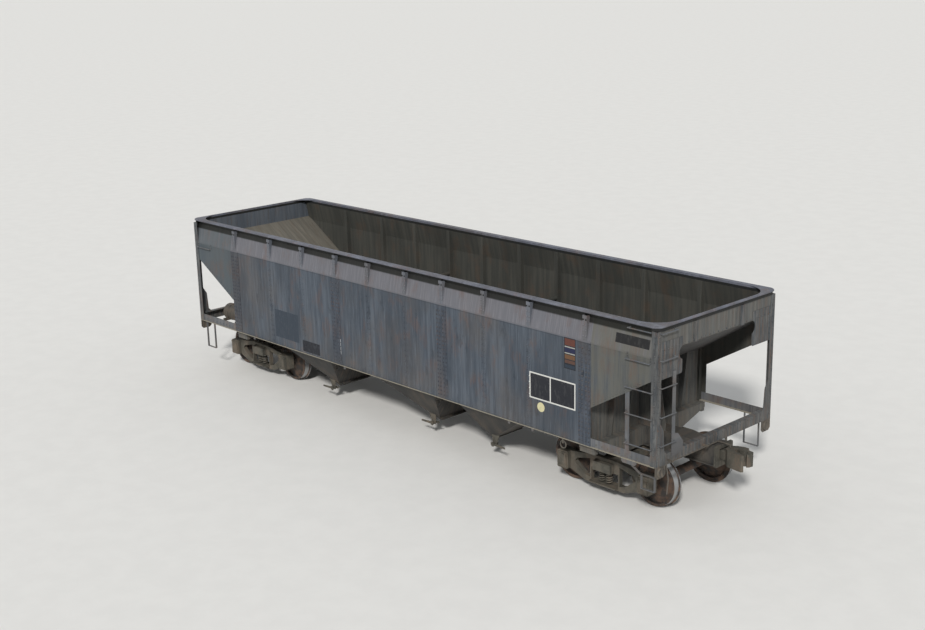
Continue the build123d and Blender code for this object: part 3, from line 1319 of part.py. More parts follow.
# Brake wheel on the left end: a plate under the end sheet, a gear case, the wheel and its rod
WHEEL_Y = END_STAKE_Y - 110
BRAKE_WHEEL_Z = END_SHEET_LOW - 155
BRAKE_WHEEL_R = 270
BRAKE_RIM_R = 12
CASE_W = 140
CASE_D = 100
CASE_H = 200
CASE_PLATE_H = 400
BRAKE_WHEEL_X = END_X + POST_T + CASE_D + 40
SPOKES = 5
SPOKE_W = 22
BRAKE_HUB_R = 34
ROD_R = 12
ROD_X = END_X + POST_T + CASE_D / 2
ROD_FOOT_Z = END_SILL_TOP - 75
ROD_FOOT_H = 30
wheel_plane = Plane(origin=(-BRAKE_WHEEL_X, WHEEL_Y, BRAKE_WHEEL_Z), x_dir=(0, 1, 0), z_dir=(1, 0, 0))
with BuildPart() as brake_wheel:
    with BuildSketch(Plane.YZ.offset(-END_X - POST_T)):
        with Locations((WHEEL_Y, BRAKE_WHEEL_Z + CASE_H / 4)):
            Rectangle(CASE_W, CASE_PLATE_H)
    extrude(amount=POST_T)
    with BuildSketch(Plane.YZ.offset(-END_X - POST_T - CASE_D)):
        with Locations((WHEEL_Y, BRAKE_WHEEL_Z)):
            RectangleRounded(CASE_W, CASE_H, VESSEL_BEVEL)
    extrude(amount=CASE_D)
    with BuildSketch(wheel_plane):
        Circle(BRAKE_HUB_R)
    extrude(amount=BRAKE_WHEEL_X - END_X - POST_T - CASE_D)
    with BuildSketch(wheel_plane.offset(-BRAKE_RIM_R / 2)):
        with PolarLocations(BRAKE_WHEEL_R / 2, SPOKES):
            Rectangle(BRAKE_WHEEL_R, SPOKE_W)
    extrude(amount=BRAKE_RIM_R)
    with BuildSketch(Plane(origin=wheel_plane.origin, x_dir=(0, 1, 0), z_dir=(0, 0, 1))):
        with Locations((BRAKE_WHEEL_R, 0)):
            RegularPolygon(BRAKE_RIM_R, 6)
    revolve(axis=Axis(wheel_plane.origin, (1, 0, 0)))
    with BuildSketch(Plane.XY.offset(ROD_FOOT_Z)):
        with Locations((-ROD_X, WHEEL_Y)):
            Circle(ROD_R)
    extrude(amount=BRAKE_WHEEL_Z - CASE_H / 4 - ROD_FOOT_Z)
    with BuildSketch(Plane.XY.offset(ROD_FOOT_Z)):
        with Locations((-(ROD_X + END_X + POST_T + 2 * ROD_R) / 2, WHEEL_Y)):
            Rectangle(ROD_X - END_X - POST_T + 2 * ROD_R, HANGER_W)
    extrude(amount=ROD_FOOT_H)
save(brake_wheel, "brake_wheel")

# Door latches beside the lips: a bracket on the sloped chute plate, a cross shaft, a hook and a lever
LATCH_RISE = 100
LATCH_Y = CHUTE_LOW_Y + chute_rise * LATCH_RISE
LATCH_T = 12
LATCH_IN_Y = CHUTE_LOW_Y + 14
LATCH_OUT_Y = LATCH_Y + 54
LATCH_R = 14
LATCH_X = -100
LATCH_Z = LIP_Z - 60
latch_bracket = ((-270, LIP_Z + 210), (-40, LIP_Z + 210), (-60, LATCH_Z - 30), (-140, LATCH_Z - 30))
latch_hook = ((-130, LATCH_Z - 25), (-130, LATCH_Z + 15), (-30, LATCH_Z + 20), (-15, LATCH_Z - 5), (-70, LATCH_Z - 30))
latch_lever = ((-75, LATCH_Z - 25), (-75, LATCH_Z + 25), (-130, LATCH_Z + 25), (-400, LATCH_Z + 5), (-400, LATCH_Z - 25))
# Plates of a latch: outline from the lip, lower y, thickness
LATCH_PLATES = (
    (latch_bracket, LATCH_Y, LATCH_T),
    (latch_hook, LATCH_IN_Y, LATCH_T),
    (latch_lever, LATCH_OUT_Y - LATCH_T, LATCH_T),
)
with BuildPart() as latches:
    for name, lip_x, facing in HOPPERS:
        for points, low_y, thickness in LATCH_PLATES:
            plate = [(lip_x + facing * dx, z) for dx, z in points]
            extrude(outline(Plane.XZ.offset(low_y), plate), amount=thickness)
        with BuildSketch(Plane.XZ.offset(LATCH_IN_Y)):
            with Locations((lip_x + facing * LATCH_X, LATCH_Z)):
                Circle(LATCH_R)
        extrude(amount=LATCH_OUT_Y - LATCH_IN_Y)
    add(inside.part, mode=Mode.SUBTRACT)
    add(chute_sides.part, mode=Mode.SUBTRACT)
    mirror(about=Plane.XZ)
save(latches, "door_latches")
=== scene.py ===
import logging
import math
from collections.abc import Callable, Iterable
from dataclasses import dataclass, replace
from enum import Enum

import bpy
from bpy.types import Material, MeshPolygon, NodeSocket, Object
from mathutils import Euler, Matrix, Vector


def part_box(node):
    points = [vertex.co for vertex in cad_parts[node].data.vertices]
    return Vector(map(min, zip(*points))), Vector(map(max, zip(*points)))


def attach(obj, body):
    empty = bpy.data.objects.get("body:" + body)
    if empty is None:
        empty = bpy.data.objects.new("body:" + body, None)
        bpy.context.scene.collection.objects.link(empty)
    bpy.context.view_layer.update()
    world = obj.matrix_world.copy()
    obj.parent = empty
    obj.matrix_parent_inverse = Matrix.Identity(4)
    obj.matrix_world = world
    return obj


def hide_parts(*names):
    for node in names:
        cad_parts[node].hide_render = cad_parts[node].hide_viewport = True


log = logging.getLogger("wagon")
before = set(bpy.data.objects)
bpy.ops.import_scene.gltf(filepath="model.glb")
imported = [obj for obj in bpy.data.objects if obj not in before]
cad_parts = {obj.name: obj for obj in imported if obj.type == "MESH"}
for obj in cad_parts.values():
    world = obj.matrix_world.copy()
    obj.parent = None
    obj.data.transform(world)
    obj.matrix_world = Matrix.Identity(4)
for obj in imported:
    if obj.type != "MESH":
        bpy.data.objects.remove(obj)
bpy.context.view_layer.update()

Colour = tuple[float, float, float]
Point = tuple[float, float, float]
Span = tuple[float, float]


def srgb(red: float, green: float, blue: float) -> Colour:
    """Turn a colour seen on screen, 0 to 255, into the linear one that nodes take.

    Args:
        red: Red, 0 to 255.
        green: Green, 0 to 255.
        blue: Blue, 0 to 255.

    Returns:
        The linear colour.
    """
    return tuple(((c / 255 + 0.055) / 1.055) ** 2.4 for c in (red, green, blue))


def darker(colour: Colour, share: float) -> Colour:
    """Scale a colour; a share above 1 makes it lighter.

    Args:
        colour: The colour.
        share: The share of it that is left.

    Returns:
        The scaled colour.
    """
    return tuple(c * share for c in colour)


class InnerSide(Enum):
    """Which faces of a sheet look into the load's room."""

    NONE = "none"
    ACROSS = "across"
    ALONG = "along"
    ABOVE = "above"
    BEHIND = "behind the sheet"
    ALL = "all"


class Facing(Enum):
    """The way that a fastener's head points, as a rotation of one that points up."""

    NEAR = (math.radians(90), 0.0, 0.0)
    RIGHT = (0.0, math.radians(90), 0.0)


HALF_TURN = (0.0, 0.0, math.pi)
TO_X = Facing.RIGHT.value
SMOOTH_BELOW = math.radians(35)
JOURNAL_XS = {"right": (3.9865, 5.7135), "left": (-5.7135, -3.9865)}


def facing_side(face: int) -> Point:
    """Turn a piece that points up towards a side.

    Args:
        face: 1 for the near side, -1 for the far side.

    Returns:
        The turn.
    """
    return (face * math.radians(90), 0, 0)


class Graph:
    """A material's node tree, with short ways to add nodes."""

    def __init__(self, name: str) -> None:
        """Make the material.

        Args:
            name: The material's name.
        """
        self.material = bpy.data.materials.new(name)
        self.material.use_nodes = True
        self.tree = self.material.node_tree
        self.tree.nodes.clear()
        given = self.tree.nodes.new("ShaderNodeTexCoord").outputs
        self.place, self.normal = given["Object"], given["Normal"]

    def put(self, socket: NodeSocket, value: object) -> None:
        """Link an output to a socket, or set the socket's own value.

        Args:
            socket: The input to fill.
            value: An output, a number or a colour.
        """
        if isinstance(value, NodeSocket):
            self.tree.links.new(value, socket)
        elif isinstance(value, tuple) and len(socket.default_value) == 4:
            socket.default_value = (*value, 1.0)
        else:
            socket.default_value = value

    def add(
        self, kind: str, inputs: dict[str | int, object], output: int = 0, **settings: object
    ) -> NodeSocket:
        """Add a node.

        Args:
            kind: Its type, without the start that all such names share.
            inputs: What goes into its inputs, by name or number.
            output: Which of its outputs is wanted.
            settings: Its own settings.

        Returns:
            The output.
        """
        node = self.tree.nodes.new(f"ShaderNode{kind}")
        for key, value in settings.items():
            setattr(node, key, value)
        for key, value in inputs.items():
            self.put(node.inputs[key], value)
        return node.outputs[output]

    def math(self, operation: str, *values: object) -> NodeSocket:
        """Add a Math node that works on the values, and give its output."""
        return self.add("Math", dict(enumerate(values)), operation=operation)

    def axes(self, vector: NodeSocket) -> tuple[NodeSocket, ...]:
        """Split a vector into its X, Y and Z."""
        return tuple(self.add("SeparateXYZ", {0: vector}).node.outputs)

    def noise(self, size: Point, detail: float = 4.0, offset: Point = (0, 0, 0)) -> NodeSocket:
        """Add noise whose blotches have a given size along each axis.

        Args:
            size: The blotches' size in metres along X, Y and Z.
            detail: How many finer layers it has.
            offset: Where the pattern starts.

        Returns:
            A number around 0.5.
        """
        scale = tuple(1 / s for s in size)
        vector = self.add("Mapping", {"Scale": scale, "Location": offset, "Vector": self.place})
        return self.add("TexNoise", {"Scale": 1.0, "Detail": detail, "Roughness": 0.6, "Vector": vector})

    def along(self) -> NodeSocket:
        """Give the distance to the right of the middle, seen from outside, so both sides are marked alike."""
        x, y, _ = self.axes(self.place)
        return self.math("MULTIPLY", x, self.math("MULTIPLY", self.math("SIGN", y), -1.0))

    def step(self, value: object, low: float, high: float, top: float = 1.0) -> NodeSocket:
        """Rise smoothly from 0, where the value is low, to top, where it is high."""
        limits = {"From Min": low, "From Max": high, "To Max": top}
        return self.add("MapRange", {"Value": value, **limits}, interpolation_type="SMOOTHSTEP")

    def mix(self, share: object, first: object, second: object) -> NodeSocket:
        """Mix two colours by the second one's share, 0 to 1."""
        return self.add("Mix", {0: share, 6: first, 7: second}, 2, data_type="RGBA")

    def within(self, value: object, low: float, high: float) -> NodeSocket:
        """Give 1 where a number lies between two others, else 0."""
        return self.math("COMPARE", value, (low + high) / 2, (high - low) / 2)

    def rise(self, height: NodeSocket, depth: float) -> NodeSocket:
        """Turn a height pattern, 0 to 1, into bumps of a depth in metres."""
        return self.add("Bump", {"Distance": depth, "Height": height})

    def finish(
        self, colour: object, roughness: object, metallic: object, normal: object, specular: float = 0.5
    ) -> Material:
        """Add the shader and the output.

        Args:
            colour: The surface's colour.
            roughness: Its roughness.
            metallic: How metallic it is.
            normal: Its normal, or None for the mesh's own.
            specular: How strongly it mirrors what is in front of it, 0.5 for clean paint.

        Returns:
            The finished material.
        """
        inputs = {
            "Base Color": colour, "Roughness": roughness, "Metallic": metallic, "Specular IOR Level": specular
        }
        if normal is not None:
            inputs["Normal"] = normal
        output = self.tree.nodes.new("ShaderNodeOutputMaterial")
        self.put(output.inputs[0], self.add("BsdfPrincipled", inputs))
        return self.material


@dataclass(frozen=True)
class Mark:
    """A painted rectangle on a side: from left to right and from bottom to top."""

    left: float
    right: float
    low: float
    high: float
    colour: Colour
    cover: float = 0.75

    def area(self, g: Graph, along: NodeSocket, z: NodeSocket) -> NodeSocket:
        """Give 1 inside the rectangle, for a place along the side and a height, else 0."""
        return g.math("MULTIPLY", g.within(along, self.left, self.right), g.within(z, self.low, self.high))


@dataclass(frozen=True)
class Dot:
    """A painted round dot on a side."""

    x: float
    z: float
    radius: float
    colour: Colour
    cover: float = 0.9

    def area(self, g: Graph, along: NodeSocket, z: NodeSocket) -> NodeSocket:
        """Give 1 inside the dot, else 0.

        Args:
            g: The material's graph.
            along: The place along the side, seen from outside.
            z: The height.

        Returns:
            1 or 0.
        """
        off_x = g.math("SUBTRACT", along, self.x)
        off_z = g.math("SUBTRACT", z, self.z)
        square = g.math("ADD", g.math("MULTIPLY", off_x, off_x), g.math("MULTIPLY", off_z, off_z))
        return g.math("LESS_THAN", square, self.radius**2)


@dataclass(frozen=True)
class Weathering:
    """Old paint with streaks, rust and dust, with a near-black painted shadow under the top chord and a paler
    painted-light band above the bend. Sizes in metres.
    """

    name: str
    base: Colour
    pale: Colour
    warm: Colour = srgb(88, 80, 72)
    rust: Colour = srgb(98, 70, 54)
    dust: Colour = srgb(120, 112, 100)
    streaks: float = 0.55
    warming: float = 0.4
    clouding: float = 0.4
    rusting: float = 0.35
    dusting: float = 0.3
    dust_top: float = 1.5
    dust_fade: float = 0.9
    roughness: float = 0.62
    specular: float = 0.28
    edge_top: float = 0.0
    edge: Colour = srgb(146, 140, 126)
    inner: InnerSide = InnerSide.NONE
    # Painted light: the paler colour of the leaning band above the bend, which faces up into the sun; None
    # leaves it out.
    lit_band: Colour | None = None
    ends: tuple[Colour, Colour] | None = None
    ends_from: float = 4.97
    ends_blur: float = 0.03
    ends_cover: float = 0.8
    marks: tuple[Mark | Dot, ...] = ()
    streak_size: Point = (0.07, 9.0, 1.4)
    blot: float = 0.4
    dent: float = 0.006
    bend_height: float = 2.825
    lean: float = 0.2024
    sheet_y: float = 1.5435
    seam_below: Span = (0.045, 0.03)
    seam_cover: float = 0.4
    lit_band_below: Span = (0.035, 0.015)
    lit_band_cover: float = 0.7
    # Painted shadow: from this height up to the next one the colour goes near-black, where the top chord's
    # shade falls; 0 leaves the strip out.
    chord_shadow_from: float = 0.0
    chord_shadow_to: float = 3.287
    chord_shadow_blur: float = 0.015
    chord_shadow_cover: float = 0.93
    chord_shadow: Colour = srgb(16, 17, 12)
    inner_base: Colour = srgb(60, 61, 58)
    inner_pale: Colour = srgb(82, 80, 74)
    inner_rust: Colour = srgb(84, 68, 56)
    inner_streaks: float = 0.5

    def inside(self, g: Graph) -> NodeSocket | float:
        """Find the faces that look into the load's room.

        Args:
            g: The material's graph.

        Returns:
            1 on those faces, else 0.
        """
        if self.inner is InnerSide.ALL:
            return 1.0
        if self.inner is InnerSide.BEHIND:
            _, y, z = g.axes(g.place)
            above = g.math("MAXIMUM", g.math("SUBTRACT", z, self.bend_height), 0.0)
            sheet = g.math("MULTIPLY_ADD", above, -self.lean, self.sheet_y)
            return g.math("LESS_THAN", g.math("ABSOLUTE", y), sheet)
        axis = {InnerSide.ACROSS: 1, InnerSide.ALONG: 0, InnerSide.ABOVE: 2}[self.inner]
        way = g.axes(g.normal)[axis]
        if self.inner is InnerSide.ABOVE:
            return g.math("GREATER_THAN", way, 0.05)
        return g.math("LESS_THAN", g.math("MULTIPLY", way, g.axes(g.place)[axis]), 0.0)

    def painted(self, g: Graph, colour: NodeSocket) -> NodeSocket:
        """Lay the painted marks over the sides' outer faces.

        Args:
            g: The material's graph.
            colour: The colour under them.

        Returns:
            The colour with the marks.
        """
        z = g.axes(g.place)[2]
        along = g.along()
        worn = g.step(g.noise((0.05, 9.0, 0.12), 5.0), 0.35, 0.5)
        for mark in self.marks:
            paint = g.math("MULTIPLY_ADD", worn, 1.0 - mark.cover, mark.cover)
            colour = g.mix(g.math("MULTIPLY", mark.area(g, along, z), paint), colour, mark.colour)
        return colour

    def upper(self, g: Graph, colour: NodeSocket) -> NodeSocket:
        """Tint the leaning band above the bend paler as painted light, where it leans up into the sun, and
        draw the seam's shadow under it.

        Args:
            g: The material's graph.
            colour: The colour under them.

        Returns:
            The tinted colour.
        """
        z = g.axes(g.place)[2]
        bend = self.bend_height
        seam = g.math("MULTIPLY", g.within(z, *(bend - off for off in self.seam_below)), self.seam_cover)
        # Painted light: the band above the bend goes paler, for the sun that it catches as it leans up.
        tint = g.step(z, *(bend - off for off in self.lit_band_below), self.lit_band_cover)
        colour = g.mix(tint, colour, self.lit_band)
        dripping = g.step(g.noise((0.025, 9.0, 0.6), 4.0), 0.45, 0.75, 0.5)
        drips = g.math("MULTIPLY", g.math("GREATER_THAN", z, bend), dripping)
        colour = g.mix(drips, colour, darker(self.lit_band, 1.5))
        return g.mix(seam, colour, darker(self.base, 0.4))

    def build(self) -> Material:
        """Make the material.

        Returns:
            The material.
        """
        g = Graph(self.name)
        x, _, z = g.axes(g.place)
        deep = self.streak_size[1]
        streak = g.noise(self.streak_size, 5.0)
        hair = g.noise(tuple(s * 0.25 for s in self.streak_size), 3.0, (7, 3, 1))
        cloud = g.noise((0.9, deep, 2.2), 3.0, (2, 9, 4))
        tone = g.noise((1.1, deep, 1.6), 4.0, (8, 2, 6))
        blotch = g.noise((0.3, deep, 0.5), 6.0, (5, 1, 8))
        smear = g.noise((0.14, deep, 0.4), 4.0, (1, 6, 2))
        grain = g.noise((0.012, 0.012, 0.012), 3.0)
        colour = g.mix(g.step(streak, 0.36, 0.66, self.streaks), self.base, self.pale)
        colour = g.mix(g.step(tone, 0.42, 0.62, self.warming), colour, self.warm)
        colour = g.mix(g.step(cloud, 0.42, 0.6, self.clouding), colour, darker(self.base, 0.68))
        colour = g.mix(g.step(hair, 0.52, 0.75, 0.35), colour, darker(self.pale, 1.25))
        colour = g.mix(g.step(smear, 0.6, 0.7, self.blot), colour, darker(self.base, 0.45))
        if self.lit_band:
            colour = self.upper(g, colour)
        if self.ends:
            tint = g.mix(g.math("GREATER_THAN", g.along(), 0.0), *self.ends)
            limits = (self.ends_from, self.ends_from + self.ends_blur)
            past = g.step(g.math("ABSOLUTE", x), *limits, self.ends_cover)
            patchy = g.step(g.math("ADD", streak, g.math("MULTIPLY", smear, 0.5)), 0.25, 0.9)
            colour = g.mix(g.math("MULTIPLY", past, patchy), colour, tint)
        rusty = g.math("MULTIPLY", g.step(blotch, 0.5, 0.66), g.step(hair, 0.35, 0.6, self.rusting))
        colour = g.mix(rusty, colour, self.rust)
        # Painted shadow under the top chord: a near-black strip darkens the sheet and the chord's lower edge.
        if self.chord_shadow_from:
            limits = (self.chord_shadow_from - self.chord_shadow_blur, self.chord_shadow_from + self.chord_shadow_blur)
            risen = g.step(z, *limits, self.chord_shadow_cover)
            in_chord_shadow = g.math("MULTIPLY", risen, g.math("LESS_THAN", z, self.chord_shadow_to))
            colour = g.mix(in_chord_shadow, colour, self.chord_shadow)
        low = g.math("SUBTRACT", 1.0, g.step(z, self.dust_top - self.dust_fade, self.dust_top))
        dusty = g.math("MULTIPLY", low, g.step(blotch, 0.3, 0.7, self.dusting))
        colour = g.mix(dusty, colour, self.dust)
        if self.edge_top:
            bare = g.math("MULTIPLY", g.math("LESS_THAN", z, self.edge_top), g.step(hair, 0.2, 0.5, 0.9))
            colour = g.mix(bare, colour, self.edge)
        if self.marks:
            colour = self.painted(g, colour)
        if self.inner is not InnerSide.NONE:
            lining = g.mix(g.step(streak, 0.35, 0.65, self.inner_streaks), self.inner_base, self.inner_pale)
            lining = g.mix(g.step(blotch, 0.5, 0.7, 0.4), lining, self.inner_rust)
            lining = g.mix(g.step(cloud, 0.45, 0.6, 0.4), lining, darker(self.inner_base, 0.7))
            colour = g.mix(self.inside(g), colour, lining)
        rough = g.math("MULTIPLY_ADD", streak, 0.3, self.roughness - 0.15)
        dents = g.noise((0.55, deep, 0.8), 1.0, (3, 3, 3))
        height = g.math("ADD", g.math("MULTIPLY", grain, 0.12), dents)
        return g.finish(colour, rough, 0.0, g.rise(height, self.dent), self.specular)


@dataclass(frozen=True)
class RolledSteel:
    """Wheel steel: a bright tread and flange, rusty plates and a dark greasy journal."""

    name: str = "rolled_steel"
    bright: Colour = srgb(168, 170, 172)
    rust: Colour = srgb(84, 66, 54)
    grime: Colour = srgb(44, 40, 38)
    rim_side: Span = (0.68, 0.815)
    level_below: float = 0.7

    def build(self) -> Material:
        """Make the material, which finds the tread by how the faces point from the axle.

        Returns:
            The material.
        """
        g = Graph(self.name)
        across = g.axes(g.normal)[1]
        side = g.math("ABSOLUTE", g.axes(g.place)[1])
        level = g.math("LESS_THAN", g.math("ABSOLUTE", across), self.level_below)
        rim = g.math("MULTIPLY", g.within(side, *self.rim_side), level)
        blotch = g.noise((0.12, 0.12, 0.12), 5.0)
        scuff = g.noise((0.5, 0.012, 0.5), 3.0)
        plain = g.mix(g.step(blotch, 0.38, 0.62), self.grime, self.rust)
        worn = g.math("MULTIPLY", rim, g.step(scuff, 0.15, 0.42))
        height = g.noise((0.03, 0.03, 0.03), 4.0)
        rough = g.math("MULTIPLY_ADD", worn, -0.45, 0.75)
        return g.finish(g.mix(worn, plain, self.bright), rough, worn, g.rise(height, 0.002))


WHITE = srgb(200, 200, 196)
PALE = srgb(150, 150, 146)
BLACK = srgb(34, 36, 42)
SLATE = srgb(50, 58, 68)


@dataclass(frozen=True)
class TwoCellPanel:
    """The white-outlined panel of two black cells, left blank."""

    left: float = 3.64
    right: float = 4.66
    low: float = 1.595
    high: float = 2.055
    line: float = 0.024
    split: float = 0.46

    def marks(self) -> tuple[Mark, ...]:
        """List the outline and the cells.

        Returns:
            The rectangles, each laid over those before it.
        """
        middle = self.left + self.split * (self.right - self.left)
        cell = (self.low + self.line, self.high - self.line, BLACK, 0.97)
        return (
            Mark(self.left, self.right, self.low, self.high, WHITE, 0.9),
            Mark(self.left + self.line, middle - self.line / 2, *cell),
            Mark(middle + self.line / 2, self.right - self.line, *cell),
        )


@dataclass(frozen=True)
class StripedLabel:
    """A black label plate with coloured stripes, listed from the top by low edge, high edge and colour."""

    left: float = 4.414
    right: float = 4.663
    low: float = 2.274
    high: float = 2.8
    rim: float = 0.015
    stripes: tuple[tuple[float, float, Colour], ...] = (
        (2.67, 2.785, srgb(90, 54, 46)),
        (2.635, 2.655, PALE),
        (2.555, 2.63, srgb(34, 38, 66)),
        (2.53, 2.548, PALE),
        (2.44, 2.515, srgb(98, 72, 52)),
        (2.37, 2.425, srgb(84, 62, 54)),
        (2.29, 2.345, srgb(42, 52, 64)),
    )

    def marks(self) -> tuple[Mark, ...]:
        """List the plate and its stripes.

        Returns:
            The rectangles, each laid over those before it.
        """
        inner = (self.left + self.rim, self.right - self.rim)
        plate = Mark(self.left, self.right, self.low, self.high, BLACK, 0.95)
        return (plate, *(Mark(*inner, *stripe) for stripe in self.stripes))


SIDE_MARKS = (
    Mark(-3.52, -2.74, 1.235, 1.815, SLATE),
    Mark(-2.62, -2.065, 1.105, 1.335, BLACK),
    *TwoCellPanel().marks(),
    Dot(3.898, 1.476, 0.082, srgb(196, 190, 152), 0.8),
    *StripedLabel().marks(),
    Mark(5.46, 6.13, 2.925, 3.075, srgb(30, 30, 32), 0.85),
)
PLATE_MARKS = (Mark(-1.393, -1.381, 1.28, 1.6, srgb(168, 170, 172), 0.9),)

BODY = (srgb(61, 69, 79), srgb(94, 101, 110))
# The leaning band's paler colour is painted light, for the sun that it catches as it faces up.
LIT_BAND = srgb(108, 107, 112)
DUSTY_ENDS = (srgb(76, 84, 88), srgb(92, 91, 84))
SILL = (srgb(84, 88, 94), srgb(118, 118, 118))
# Dark chute and door paint, made darker still as painted shade for the deep shade under the body.
SHADED_HOPPER = (srgb(36, 38, 40), srgb(58, 58, 58))
GRIMY = srgb(62, 58, 52)
DOWN_A_SLOPE = (0.9, 0.05, 0.9)
FINE = (0.05, 0.05, 0.25)
FINISHES = {
    # The side sheets take the painted chord shadow from 3.12 m up.
    "side": Weathering(
        "side_paint", *BODY, lit_band=LIT_BAND, ends=DUSTY_ENDS, marks=SIDE_MARKS, streaks=0.6, clouding=0.5,
        inner=InnerSide.ACROSS, chord_shadow_from=3.12,
    ),
    "plate": Weathering(
        "plate_paint", srgb(54, 61, 71), srgb(86, 92, 101), lit_band=LIT_BAND, rusting=0.25, marks=PLATE_MARKS,
        streak_size=(0.05, 9.0, 0.35), blot=0.75,
    ),
    "stake": Weathering(
        "stake_paint", srgb(92, 96, 104), srgb(116, 118, 124), rusting=0.4, inner=InnerSide.BEHIND
    ),
    "sill": Weathering("sill_paint", *SILL, rusting=0.5, dusting=0.4),
    "side_sill": Weathering("side_sill_paint", *SILL, rusting=0.5, dusting=0.4, edge_top=1.068),
    # The chord's lower edge takes the painted shadow from 3.1 m up.
    "chord": Weathering(
        "chord_paint", srgb(90, 93, 104), srgb(122, 125, 136), rusting=0.3, streak_size=(0.4, 0.4, 0.3),
        chord_shadow_from=3.1,
    ),
    "end": Weathering(
        "end_paint", srgb(84, 86, 86), srgb(112, 110, 104), inner=InnerSide.ALONG, dusting=0.5,
        streak_size=(9.0, 0.07, 1.2), inner_base=srgb(80, 86, 94), inner_pale=srgb(102, 106, 110),
    ),
    "post": Weathering(
        "post_paint", srgb(62, 67, 72), srgb(108, 109, 108), rusting=0.6, dusting=0.5, streaks=0.75,
        streak_size=(0.05, 0.05, 0.35), blot=0.6,
    ),
    "floor": Weathering(
        "floor_steel", srgb(52, 54, 56), srgb(78, 78, 76), inner=InnerSide.ABOVE, dusting=0.4,
        streak_size=DOWN_A_SLOPE, inner_base=srgb(94, 91, 84), inner_pale=srgb(116, 111, 101),
    ),
    "chute": Weathering("chute_paint_and_shade", *SHADED_HOPPER, warm=GRIMY, inner=InnerSide.ACROSS, dusting=0.2),
    "door": Weathering("door_paint_and_shade", *SHADED_HOPPER, warm=GRIMY, dusting=0.2, streak_size=DOWN_A_SLOPE),
    "lining": Weathering("lining_steel", srgb(78, 76, 74), srgb(108, 104, 98), inner=InnerSide.ALL),
    "brace": Weathering(
        "brace_paint", srgb(76, 78, 78), srgb(108, 106, 100), dusting=0.5, rusting=0.45,
        streak_size=(0.06, 0.06, 0.6),
    ),
    "frame": Weathering("frame_paint", srgb(50, 52, 54), srgb(80, 78, 74), dusting=0.5, rusting=0.5),
    "gear": Weathering(
        "gear_paint", srgb(66, 65, 63), srgb(104, 98, 88), dusting=0.5, rusting=0.6, dent=0.002,
        streak_size=FINE,
    ),
    "cast": Weathering(
        "cast_steel", srgb(58, 58, 54), srgb(92, 90, 82), warm=GRIMY, dusting=0.45, rusting=0.4, dent=0.002,
        streak_size=(0.12, 0.12, 0.2), roughness=0.8,
    ),
    # Darker paint on the splice rivets: partly painted shade for the shadows round their heads, with more
    # rust.
    "rivet": Weathering(
        "rivet_paint_and_shade", srgb(50, 55, 64), srgb(84, 88, 96), lit_band=LIT_BAND, rusting=0.6, dent=0.001, streak_size=FINE
    ),
}

NODE_FINISH = {
    "side": ("side_sheets",),
    "plate": ("splice_plates",),
    "stake": ("side_stakes",),
    "sill": ("ladders", "grab_irons", "sill_steps"),
    "side_sill": ("side_sills",),
    "chord": ("side_top_chords", "end_top_chords"),
    "end": ("end_sheets",),
    "post": ("corner_posts", "end_gussets", "end_stakes", "end_sills"),
    "floor": ("end_slope_sheets", "cross_ridges", "centre_sill_cover"),
    "chute": ("chute_side_plates",),
    "lining": ("chute_inner_plates", "ridge_gussets", "cross_ties"),
    "brace": ("body_bolsters", "slope_braces"),
    "frame": ("centre_sill", "door_hinges"),
    "gear": (
        "brake_gear_bars", "brake_cylinder", "air_reservoir", "brake_valve", "brake_wheel", "train_pipe",
        "uncoupling_levers", "poling_pockets",
    ),
    "cast": ("strikers", "door_latches"),
}
CAST_STARTS = ("side_frames", "bogie_bolster", "springs", "brake_beams", "coupler", "knuckle")


def deselect() -> None:
    """Leave nothing selected."""
    bpy.ops.object.select_all(action="DESELECT")


def select_only(piece: Object) -> None:
    """Leave one piece selected and active.

    Args:
        piece: The object.
    """
    deselect()
    piece.select_set(True)
    bpy.context.view_layer.objects.active = piece


def settle(piece: Object) -> None:
    """Move a piece's place and turn into its mesh.

    Args:
        piece: The object.
    """
    select_only(piece)
    bpy.ops.object.transform_apply(location=True, rotation=True, scale=True)


def added(primitive: Callable[..., set[str]], **settings: object) -> Object:
    """Add a primitive and move its place and turn into its mesh.

    Args:
        primitive: The operator that adds it.
        settings: The operator's settings.

    Returns:
        The new object.
    """
    deselect()
    primitive(**settings)
    piece = bpy.context.active_object
    settle(piece)
    return piece


def edit_faces(piece: Object, chosen: Callable[[MeshPolygon], bool]) -> None:
    """Select some faces of the active piece, no others, and enter edit mode.

    Args:
        piece: The object.
        chosen: Tells whether a face is selected.
    """
    bpy.ops.object.mode_set(mode="EDIT")
    bpy.ops.mesh.select_mode(type="FACE")
    bpy.ops.mesh.select_all(action="DESELECT")
    bpy.ops.object.mode_set(mode="OBJECT")
    for face in piece.data.polygons:
        face.select = chosen(face)
    bpy.ops.object.mode_set(mode="EDIT")


def copied(piece: Object, place: Point = (0, 0, 0), turn: Point = (0, 0, 0)) -> Object:
    """Copy a piece with its own mesh, turn it about the origin and move it.

    Args:
        piece: The object to copy.
        place: How far it moves.
        turn: Its turn in radians about X, Y and Z.

    Returns:
        The copy, with its place in its mesh.
    """
    copy = piece.copy()
    copy.data = piece.data.copy()
    bpy.context.scene.collection.objects.link(copy)
    copy.rotation_euler = turn
    copy.location = place
    settle(copy)
    return copy


def joined(pieces: Iterable[Object], name: str) -> Object:
    """Join pieces into one.

    Args:
        pieces: The objects.
        name: The joined object's name.

    Returns:
        The joined object.
    """
    pieces = list(pieces)
    deselect()
    for piece in pieces:
        piece.select_set(True)
    bpy.context.view_layer.objects.active = pieces[0]
    if len(pieces) > 1:
        bpy.ops.object.join()
    pieces[0].name = name
    pieces[0].data.name = name
    return pieces[0]


